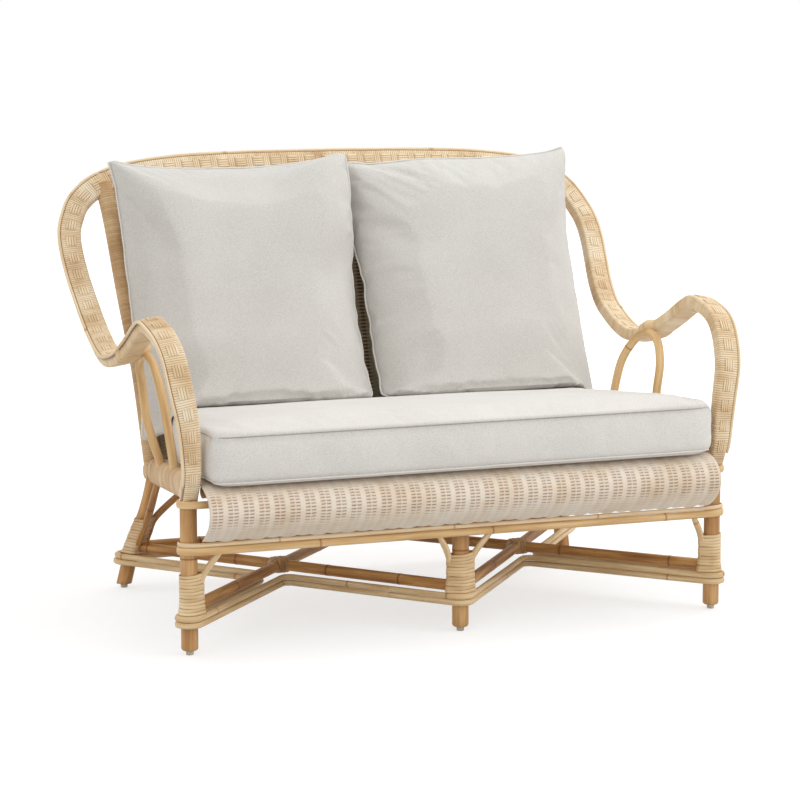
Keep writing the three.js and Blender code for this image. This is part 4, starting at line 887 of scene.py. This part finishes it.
# The woven sheets: strands of split core across, over and under stakes; one sheet pressed into rows and bends
def wovenSheet(name, length, spotAt, halfWidth, look, material, replaced=()):
    stakes = round(2 * halfWidth / look["stake"])
    columns = [(-1, 0, 0, 0, 0, 0)]
    for k in range(stakes):
        columns += [(((k + 0.5 + bend[0]) / stakes) * 2 - 1, *bend[1:], k) for bend in look["bends"]]
    columns.append((1, 0, 0, 0, 0, stakes))
    rows = round(length / look["row"])
    levels = [((r + share) / rows * length, share, r) for r in range(rows) for share in (0, 0.5)]
    levels.append((length, 0, rows))
    bm = bmesh.new()
    uv = bm.loops.layers.uv.new("route")
    layers = [bm.verts.layers.float.new(key) for key in ("strip", "grooveShade", "rib")]
    sheet = bmesh.ops.create_grid(bm, x_segments=len(columns) - 1, y_segments=len(levels) - 1, size=1)["verts"]
    spots = {}
    for index, v in enumerate(sheet):
        along, share, r = levels[index // len(columns)]
        across, over, under, gap, rib, k = columns[index % len(columns)]
        above = (r + k) % 2
        if share == 0:  # between two strands
            height = (over + under) / 2 - look["ridge"]
            painted = (r, 0.14 + 0.2 * gap, 0.6 * rib)  # a soft shadow along each row
        else:
            height = (over if above else under) + look["ridge"]
            painted = (r, 0 if above else gap, 0 if above else rib)
        point, normal = spotAt(along, across)
        wobble = noise.noise(Vector((across * 9, r * 1.7, look["seed"]))) * look["wobble"]
        v.co = point + normal * height + Vector((0, 0, wobble))
        for layer, value in zip(layers, painted):
            v[layer] = value
        spots[v] = (across * halfWidth, along)
    for face in bm.faces:
        for loop in face.loops:
            loop[uv].uv = spots[loop.vert]
    piece = newPiece(name, bm, material, "frame", "wicker", replaced)
    thickness = piece.modifiers.new("strand", "SOLIDIFY")
    thickness.thickness, thickness.offset = look["thick"], 0


# Each bend: place across as a share of the stake spacing, heights of the strand over and under, gap shadow and
# stake showing. The bends on both sides of a stake are alike
def evenBends(atGap, atStake, beside):
    ordered = [(-0.5, *atGap)] + [(-across, *rest) for across, *rest in beside]
    return ordered + ([(0, *atStake)] if atStake else []) + [tuple(bend) for bend in reversed(beside)]


closeBends = evenBends((0.0003, 0.0003, 0, 0), (0.0024, 0.0004, 0, 0), [
    (0.37, 0.0011, -0.0007, 0, 0), (0.3, 0.0018, -0.0014, 0.9, 0), (0.07, 0.0024, -0.001, 0.95, 0)])
coarseBends = evenBends((0, 0, 0, 0), (0.0013, 0, 0, 0), [(0.2, 0.0003, -0.0009, 0.8, 0)])
ribBends = evenBends((0, 0, 0, 0), None, [(0.2, 0.0004, -0.0004, 0.5, 0), (0.12, 0.0008, 0.0006, 0, 1)])
apronLook = {"stake": 0.0288, "row": 0.003, "bends": closeBends, "ridge": 0.0008, "wobble": 0.0006,
             "thick": 0.0016, "seed": 1}
deckLook = {"stake": 0.0288, "row": 0.0058, "bends": coarseBends, "ridge": 0.0008, "wobble": 0.0008,
            "thick": 0.002, "seed": 2}
backLook = {"stake": 0.029, "row": 0.0037, "bends": ribBends, "ridge": 0.0005, "wobble": 0.0005,
            "thick": 0.0018, "seed": 3}

seat = {"bulge": -0.07, "top": 0.3094, "foot": (0, -0.0231, 0.2094), "rear": (0, 0.5267, 0.2658),
        "frontHalf": 0.5059, "rearHalf": 0.4171, "deckShows": 0.06, "deckDepths": (0, 0.18, 0.36),
        "bulgeShares": [(0, 0.66, 0.84), (0, 0.9, 0.67), (0, 1, 0.48), (0, 0.96, 0.33), (0, 0.78, 0.17),
                        (0, 0.4, 0.04)]}
seatDepth = seat["rear"][1]
seatPoints = [at(*seat["foot"])]
seatPoints += between((0, 0, seat["top"]), (0, seat["bulge"], seat["foot"][2]), seat["bulgeShares"])
for depth in seat["deckDepths"]:
    seatPoints.append(at(0, depth, mix(seat["top"], seat["rear"][2], depth / seatDepth)))
seatRoute = Route(splinePoints([*seatPoints, at(*seat["rear"])]), (1, 0, 0))
apronLength = next(step * 0.001 for step in range(700)
                   if seatRoute.frame(step * 0.001)[0].y - legLine > seat["deckShows"])


def seatSpot(along, share):
    centre, tangent, across, face = seatRoute.frame(along)
    half = mix(seat["frontHalf"], seat["rearHalf"], max(centre.y - legLine, 0) / seatDepth)
    return centre + Vector((share * half, 0, 0)), face


wovenSheet("apron_weave", apronLength, seatSpot, seat["frontHalf"], apronLook, coreStrand, ["seat_weave"])
wovenSheet("seat_deck_weave", seatRoute.total - apronLength,
           lambda along, share: seatSpot(along + apronLength, share), seat["frontHalf"], deckLook, coreStrand)

backPanel = {"footDepth": 0.5374, "middle": (0.7173, 0.8392), "bow": 0.008, "fromShare": 0.03,
             "toShare": 0.972, "length": 0.62, "facing": (0, -0.957, 0.29)}


def backSpot(along, share):
    rise = backPanel["fromShare"] + along / backPanel["length"]
    topY, topZ = [mix(m, s, share * share) for m, s in zip(backPanel["middle"], post["top"][1:])]
    bow = backPanel["bow"] * (1 - share * share) * math.sin(math.pi * rise)
    place = at(share * mix(railEnd[0], post["top"][0], rise), mix(backPanel["footDepth"], topY, rise) + bow,
               mix(railEnd[2], topZ, rise))
    return place, Vector(backPanel["facing"])


for name, side in bothSides:
    wovenSheet(f"back_weave_{name}", backPanel["length"] * (backPanel["toShare"] - backPanel["fromShare"]),
               lambda along, share, side=side: backSpot(along, (side + share) / 2), post["top"][0] / 2,
               backLook, backStrand, ["back_weave"] if side < 0 else ())
print("weaves made")


# Cushions: loose fibre-filled covers.
seatSlope = 0.08278
pillow = {"half": 0.25, "length": 0.54, "thick": 0.178, "lean": math.radians(22.5), "depth": 0.445,
          "foot": 0.3549, "middle": 0.2515, "slit": 0.0025, "power": 4.2, "footPower": 40, "cells": 36,
          "seamSteps": (90, 100), "standHeight": 0.3816, "standDepth": 0.44504, "standFall": 0.1299,
          "overhang": 0.43, "overEdge": 0.03, "overShare": 1.4, "pinch": 0.024, "topPinch": (0.078, 0.036),
          "horn": (0.006, 0.018), "innerEar": 0.012, "drawn": 0.022, "innerDrawn": 0.009, "blunt": 0.008,
          "waves": 0.0035, "spread": 0.008, "turn": 0.012, "flop": 0.024, "tread": 0.018, "sag": 0.12,
          "droop": 0.045, "droopFrom": 0.4, "droopReach": 0.09, "panelSlope": 0.3028, "panelGap": 0.0055,
          "ribbonFront": 0.696, "apart": 0.0012, "voxel": 0.0068, "pressure": 4, "grow": 0.012, "cap": 0.011,
          "cords": ((0.0021, piping),), "cloth": linen}


def standPlane(depth):
    return pillow["standHeight"] - (depth - pillow["standDepth"]) * pillow["standFall"]


def standAt(place):
    # The seat pad's top where the pillow stands; past the pad's side the corner hangs lower
    hanging = ease((abs(place.x) - pillow["overhang"]) / pillow["overEdge"])
    return standPlane(place.y - legLine) - pillow["droop"] * pillow["overShare"] * hanging


def pillowPlace(u, v, face, side):
    # u runs outward from the sofa's middle and v upward, both from -1 to 1; face is -1 in front and 1 behind
    upPower = pillow["power"] if v > 0 else pillow["footPower"]
    roundness = max((1 - abs(u) ** pillow["power"]) * (1 - abs(v) ** upPower), 0)
    inner, corner = ease((-u - 0.2) / 0.6), ease((abs(u) - 0.2) / 0.8) * ease((v - 0.2) / 0.8)
    blunt = pillow["blunt"] * abs(u * v) ** 10 * (0.4 if u < 0 and side < 0 else 1)
    pinch = mix(pillow["pinch"], pillow["topPinch"][side > 0], ease(v)) * (1 - abs(u) ** 7)
    rise = pillow["length"] / 2 * (1 + v * (1 - pinch)) - math.copysign(blunt, v) * 0.7
    rise += pillow["horn"][side > 0] * abs(u * v) ** 8 * (v > 0)
    if side > 0:
        rise -= pillow["innerEar"] * ease((-u - 0.3) / 0.7) * ease(v)
    ripple = math.sin(v * 13 + side + 2 * u) + 0.6 * math.sin(v * 29 + 5 * side)
    wave = pillow["waves"] * (1 if u < 0 else 0.35) * abs(u) ** 8 * ripple * (1 - v ** 4)
    drawn = mix(pillow["drawn"], pillow["innerDrawn"] * ease((0.5 - v) / 0.6), inner)
    drawn *= (1 - v ** 8) * abs(u) ** 3
    x = u * pillow["half"] - math.copysign(drawn + blunt + abs(wave), u) + pillow["spread"] * corner * (u > 0)
    swell = face * math.sqrt(roundness) * (1 - pillow["sag"] * v) * pillow["thick"] / 2
    turnShare = (1 if side > 0 else 1.6) * (1 if face < 0 or u < -0.9 else 0.6)
    swell += pillow["turn"] * side * inner * ease((v + 0.1) / 0.5) * turnShare
    swell -= pillow["flop"] * corner * (u > 0 or side < 0) + pillow["tread"] * ease((-v - 0.4) / 0.6)
    cosine, sine = math.cos(pillow["lean"]), math.sin(pillow["lean"])
    place = at(side * max(pillow["middle"] + x, pillow["slit"]),
               pillow["depth"] + swell * cosine + rise * sine, pillow["foot"] + rise * cosine - swell * sine)
    outside = ease((abs(place.x) - pillow["droopFrom"]) / pillow["droopReach"])
    place.z -= pillow["droop"] * outside * ease((-v - 0.45) / 0.5)
    if face < 0 and place.z > standAt(place):
        place.z -= (place.z - standAt(place)) * ease((-v - 0.5) / 0.45) * roundness ** 0.25
    place.z = max(place.z, standAt(place))
    return place


def pillowShape(side):
    cells = pillow["cells"]
    bm = bmesh.new()
    for face in (-1, 1):
        for v in bmesh.ops.create_grid(bm, x_segments=cells, y_segments=cells, size=1)["verts"]:
            v.co = pillowPlace(v.co.x, v.co.y, face, side)
    bmesh.ops.remove_doubles(bm, verts=bm.verts, dist=1e-6)
    bmesh.ops.recalc_face_normals(bm, faces=bm.faces)
    return bm


def seamTurns(acrossSteps, upSteps):
    # Once round a square that reaches from -1 to 1
    corners = ((-1, -1), (1, -1), (1, 1), (-1, 1), (-1, -1))
    turns = []
    for steps, (u, v), (nextU, nextV) in zip((acrossSteps, upSteps) * 2, corners, corners[1:]):
        turns += [(mix(u, nextU, i / steps), mix(v, nextV, i / steps)) for i in range(steps)]
    return turns


seatPad = {"middle": 0.22635, "halfDepth": 0.29235, "frontHalf": 0.5029, "rearHalf": 0.415, "rearDepth": 0.532,
           "lift": 0.3122, "height": 0.1, "crown": 0.007, "tilt": math.atan(seatSlope), "power": 18,
           "cuts": 30, "seams": (0.78, -0.84), "seamSteps": (160, 100), "seamIn": 0.008, "topRound": 0.014,
           "footRound": 0.045, "frontBulge": 0.013, "frontDroop": 0.006, "leftDroop": 0.002, "flatFoot": 0.006,
           "covered": 0.33, "voxel": 0.0095, "pressure": 3, "grow": 0.008, "cap": 0.007,
           "cords": ((0.0008, seamShadeCord), (0.0016, piping)), "cloth": litSeatLinen}


def seatPadPlace(u, v, w):
    # From a cube's place to the pad's: a rounded outline, upright sides and a low crown
    most = max(abs(u), abs(v), 1e-6)
    p = seatPad["power"]
    drawn = 1 / (abs(u / most) ** p + abs(v / most) ** p) ** (1 / p)
    inward = 1 - (seatPad["topRound"] * (max(0, w - 0.5) / 0.5) ** 2.5
                  + seatPad["footRound"] * (max(0, -w - 0.7) / 0.3) ** 2)
    depth = seatPad["middle"] + v * drawn * seatPad["halfDepth"] * inward
    half = mix(seatPad["frontHalf"], seatPad["rearHalf"], max(depth, 0) / seatPad["rearDepth"])
    crown = seatPad["crown"] * (1 - most ** 2.4) if w > 0.99 else 0
    height = (w + 1) / 2 * seatPad["height"] + crown
    height -= (seatPad["frontDroop"] - seatPad["leftDroop"] * u) * ease((-v - 0.82) / 0.18)
    cosine, sine = math.cos(seatPad["tilt"]), math.sin(seatPad["tilt"])
    half += seatPad["frontBulge"] * ease((-v - 0.925) / 0.06)
    return at(u * drawn * half * inward, depth * cosine + height * sine,
              seatPad["lift"] + height * cosine - depth * sine)


def seatPadShape():
    bm = bmesh.new()
    bmesh.ops.create_cube(bm, size=2)
    bmesh.ops.subdivide_edges(bm, edges=bm.edges, cuts=seatPad["cuts"], use_grid_fill=True)
    for v in bm.verts:
        v.co = seatPadPlace(*v.co)
    bmesh.ops.recalc_face_normals(bm, faces=bm.faces)
    return bm


def seatPadSeam(w):
    # Drawn in slightly at the corners
    drawn = [(u, v, 1 - seatPad["seamIn"] * abs(u * v) ** 12) for u, v in seamTurns(*seatPad["seamSteps"])]
    return [seatPadPlace(u * inward, v * inward, w) for u, v, inward in drawn]


def treeOf(spots):
    tree = KDTree(len(spots))
    for i, spot in enumerate(spots):
        tree.insert(spot, i)
    tree.balance()
    return tree


def blownCover(name, bm, seams, look, keepOff):
    # Cloth held at its seams and blown up from inside; keepOff moves a place clear of the pieces beside it
    mesh = bpy.data.meshes.new(name)
    bm.to_mesh(mesh)
    bm.free()
    cover = bpy.data.objects.new(name + "_cover", mesh)
    bpy.context.scene.collection.objects.link(cover)
    bpy.context.view_layer.objects.active = cover
    remesh = cover.modifiers.new("cells", "REMESH")
    remesh.mode, remesh.voxel_size = "VOXEL", look["voxel"]
    bpy.ops.object.modifier_apply(modifier=remesh.name)
    tree = treeOf([spot for seam in seams for spot in seam])
    held = cover.vertex_groups.new(name="held")
    cut = [v.co.copy() for v in cover.data.vertices]
    gaps = [tree.find(co)[2] for co in cut]
    flatFoot = look["lift"] + look["flatFoot"] if "flatFoot" in look else -1
    for i, gap in enumerate(gaps):
        if gap < look["voxel"] * 0.9 or flatFoot > cut[i].z + (cut[i].y - legLine) * seatSlope:
            held.add([i], 1, "REPLACE")
    cloth = cover.modifiers.new("cloth", "CLOTH")
    settings = cloth.settings
    settings.use_pressure = True
    settings.uniform_pressure_force = look["pressure"]
    settings.effector_weights.gravity = 0
    settings.vertex_group_mass = "held"
    settings.shrink_min = -look["grow"]
    settings.quality = 5
    settings.tension_stiffness = settings.compression_stiffness = 20
    settings.bending_stiffness = 0.4
    cloth.collision_settings.use_collision = False
    lastFrame = 20
    cloth.point_cache.frame_start, cloth.point_cache.frame_end = 1, lastFrame
    for number in range(1, lastFrame + 1):
        bpy.context.scene.frame_set(number)
    blown = cover.evaluated_get(bpy.context.evaluated_depsgraph_get()).data
    moved = []
    for spot, v in zip(cut, blown.vertices):
        step = v.co - spot
        moved.append(keepOff(spot + step * min(1, look["cap"] / max(step.length, 1e-6))))
    bpy.context.scene.frame_set(1)
    cover.modifiers.remove(cloth)
    bm = bmesh.new()
    bm.from_mesh(cover.data)
    layer = bm.verts.layers.float.new("seam")
    for v, spot, gap in zip(bm.verts, moved, gaps):
        v.co = spot
        # painted shade along each seam, where the cover creases
        v[layer] = 0.3 * math.exp(-(gap / 0.005) ** 2)
    bmesh.ops.smooth_vert(bm, verts=bm.verts, factor=0.3, use_axis_x=True, use_axis_y=True, use_axis_z=True)
    bpy.data.objects.remove(cover)
    return bm


def pulledTo(bm, seam):
    # The cord keeps to the cover where its corners came out rounder than they were cut
    slack, reach = 0.002, 0.004
    tree = treeOf([v.co for v in bm.verts])
    pulled = []
    for spot in seam:
        middle = sum((near[0] for near in tree.find_n(spot, 4)), Vector()) / 4
        pulled.append(spot.lerp(middle, ease(((middle - spot).length - slack) / reach)))
    for _ in range(3):
        pulled = [(pulled[i - 1] + spot * 2 + pulled[(i + 1) % len(pulled)]) / 4
                  for i, spot in enumerate(pulled)]
    return pulled


def cushionPiece(name, bm, seams, look, node, keepOff):
    bm = blownCover(name, bm, seams, look, keepOff)
    seams = [pulledTo(bm, seam) for seam in seams]
    piece = newPiece(name, bm, look["cloth"], node, "linen", [node])
    smooth = piece.modifiers.new("smooth", "SUBSURF")
    smooth.levels = smooth.render_levels = 1
    for k, (seam, (thickness, cordCloth)) in enumerate(zip(seams, look["cords"])):
        rings = []
        for i, spot in enumerate(seam):
            tangent = (seam[(i + 1) % len(seam)] - seam[i - 1]).normalized()
            across = tangent.orthogonal() if not i else across - tangent * across.dot(tangent)
            across = across.normalized()
            positions = [spot + (across * a + tangent.cross(across) * b) * thickness for a, b in ringShape(8)]
            rings.append((positions, i * 0.006, {"seam": 0.0}))
        sweptPiece(f"{name}_piping_{k}", [rings], cordCloth, "linen", body=node, loopBack=True)


def offPillow(side):
    # Each pillow keeps to its side, before the woven back and the ribbon, and on the seat pad
    def keepOff(place):
        panel = backPanel["footDepth"] + (place.z - railEnd[2]) * pillow["panelSlope"] - pillow["panelGap"]
        depth = min(place.y - legLine, panel, pillow["ribbonFront"])
        apart = max(side * place.x, pillow["apart"])
        return Vector((side * apart, depth + legLine, max(place.z, standAt(place))))
    return keepOff


def offSeat(place):
    # Under the pillows the pad's top keeps below the plane that they stand on
    depth = place.y - legLine
    top = standPlane(depth) - pillow["apart"]
    return Vector((place.x, place.y, min(place.z, top))) if depth > seatPad["covered"] else place


for name, side in bothSides:
    seam = [pillowPlace(u, v, 1, side) for u, v in seamTurns(*pillow["seamSteps"])]
    cushionPiece(f"back_pillow_{name}", pillowShape(side), [seam], pillow, f"back_cushion_{name}",
                 offPillow(side))
padSeams = [seatPadSeam(w) for w in seatPad["seams"]]
cushionPiece("seat_pad", seatPadShape(), padSeams, seatPad, "seat_cushion", offSeat)
print("cushions made")


# Studio: a pale floor that takes the shadow, soft light from the front right and above, and the camera
def studio():
    look = {"floor": 14, "world": 0.92, "aim": (0, 0, 0.4), "place": (-1.809, -4.685, 1.106), "yaw": 21.20,
            "pitch": 8.11, "lens": 116.2}
    lamps = (("key", 38, (3.3, -2.6, 2.8), 2.4), ("fill", 8, (-2.8, -2.6, 2.0), 2.6),
             ("top", 28, (1.4, 0.5, 3.2), 2.4))
    material, shading = newMaterial("studio floor")
    away = shading.add("VectorMath", {0: shading.place()}, operation="LENGTH").outputs["Value"]
    fade = {"Value": away, "From Min": 0.9, "From Max": 2.6, "To Min": 0.66, "To Max": 1}
    matt = shading.add("BsdfDiffuse", {"Color": hexColor("d9d9d9")})
    shaded = shading.add("BsdfDiffuse", {"Color": hexColor("aaaaaa")})
    white = shading.add("Emission", {"Color": hexColor("ffffff"), "Strength": shading.add("MapRange", fade)})
    both = shading.add("AddShader", {0: shaded, 1: white})
    rays = shading.add("LightPath").outputs
    direct = shading.math("MAXIMUM", rays["Is Camera Ray"], rays["Is Glossy Ray"])
    shading.add("OutputMaterial", {"Surface": shading.add("MixShader", {0: direct, 1: matt, 2: both})})
    bm = bmesh.new()
    bmesh.ops.create_grid(bm, x_segments=1, y_segments=1, size=look["floor"])
    mesh = bpy.data.meshes.new("studio_floor")
    bm.to_mesh(mesh)
    bm.free()
    mesh.materials.append(material)
    floor = bpy.data.objects.new("studio_floor", mesh)
    scene = bpy.context.scene
    scene.collection.objects.link(floor)
    scene.world = bpy.data.worlds.new("studio")
    scene.world.use_nodes = True
    shading = Shading(scene.world.node_tree)
    rays = shading.add("LightPath").outputs
    direct = shading.math("MAXIMUM", rays["Is Camera Ray"], rays["Is Glossy Ray"])
    seen = shading.math("MAXIMUM", direct, rays["Is Transmission Ray"])
    strength = shading.add("MapRange", {"Value": seen, "To Min": look["world"], "To Max": 1.0})
    background = shading.add("Background", {"Color": (1, 1, 1, 1), "Strength": strength})
    shading.add("OutputWorld", {"Surface": background})
    for name, energy, place, size in lamps:
        light = bpy.data.lights.new(name, "AREA")
        light.energy, light.size = energy, size
        lamp = bpy.data.objects.new(name, light)
        lamp.location = place
        lamp.rotation_euler = (Vector(look["aim"]) - lamp.location).to_track_quat("-Z", "Y").to_euler()
        scene.collection.objects.link(lamp)
    camera = bpy.data.objects.new("camera", bpy.data.cameras.new("camera"))
    camera.location = look["place"]
    camera.rotation_euler = (math.radians(90 - look["pitch"]), 0, -math.radians(look["yaw"]))
    camera.data.lens, camera.data.sensor_width = look["lens"], 36
    scene.collection.objects.link(camera)
    scene.camera = camera
    scene.view_settings.view_transform = "Standard"


studio()
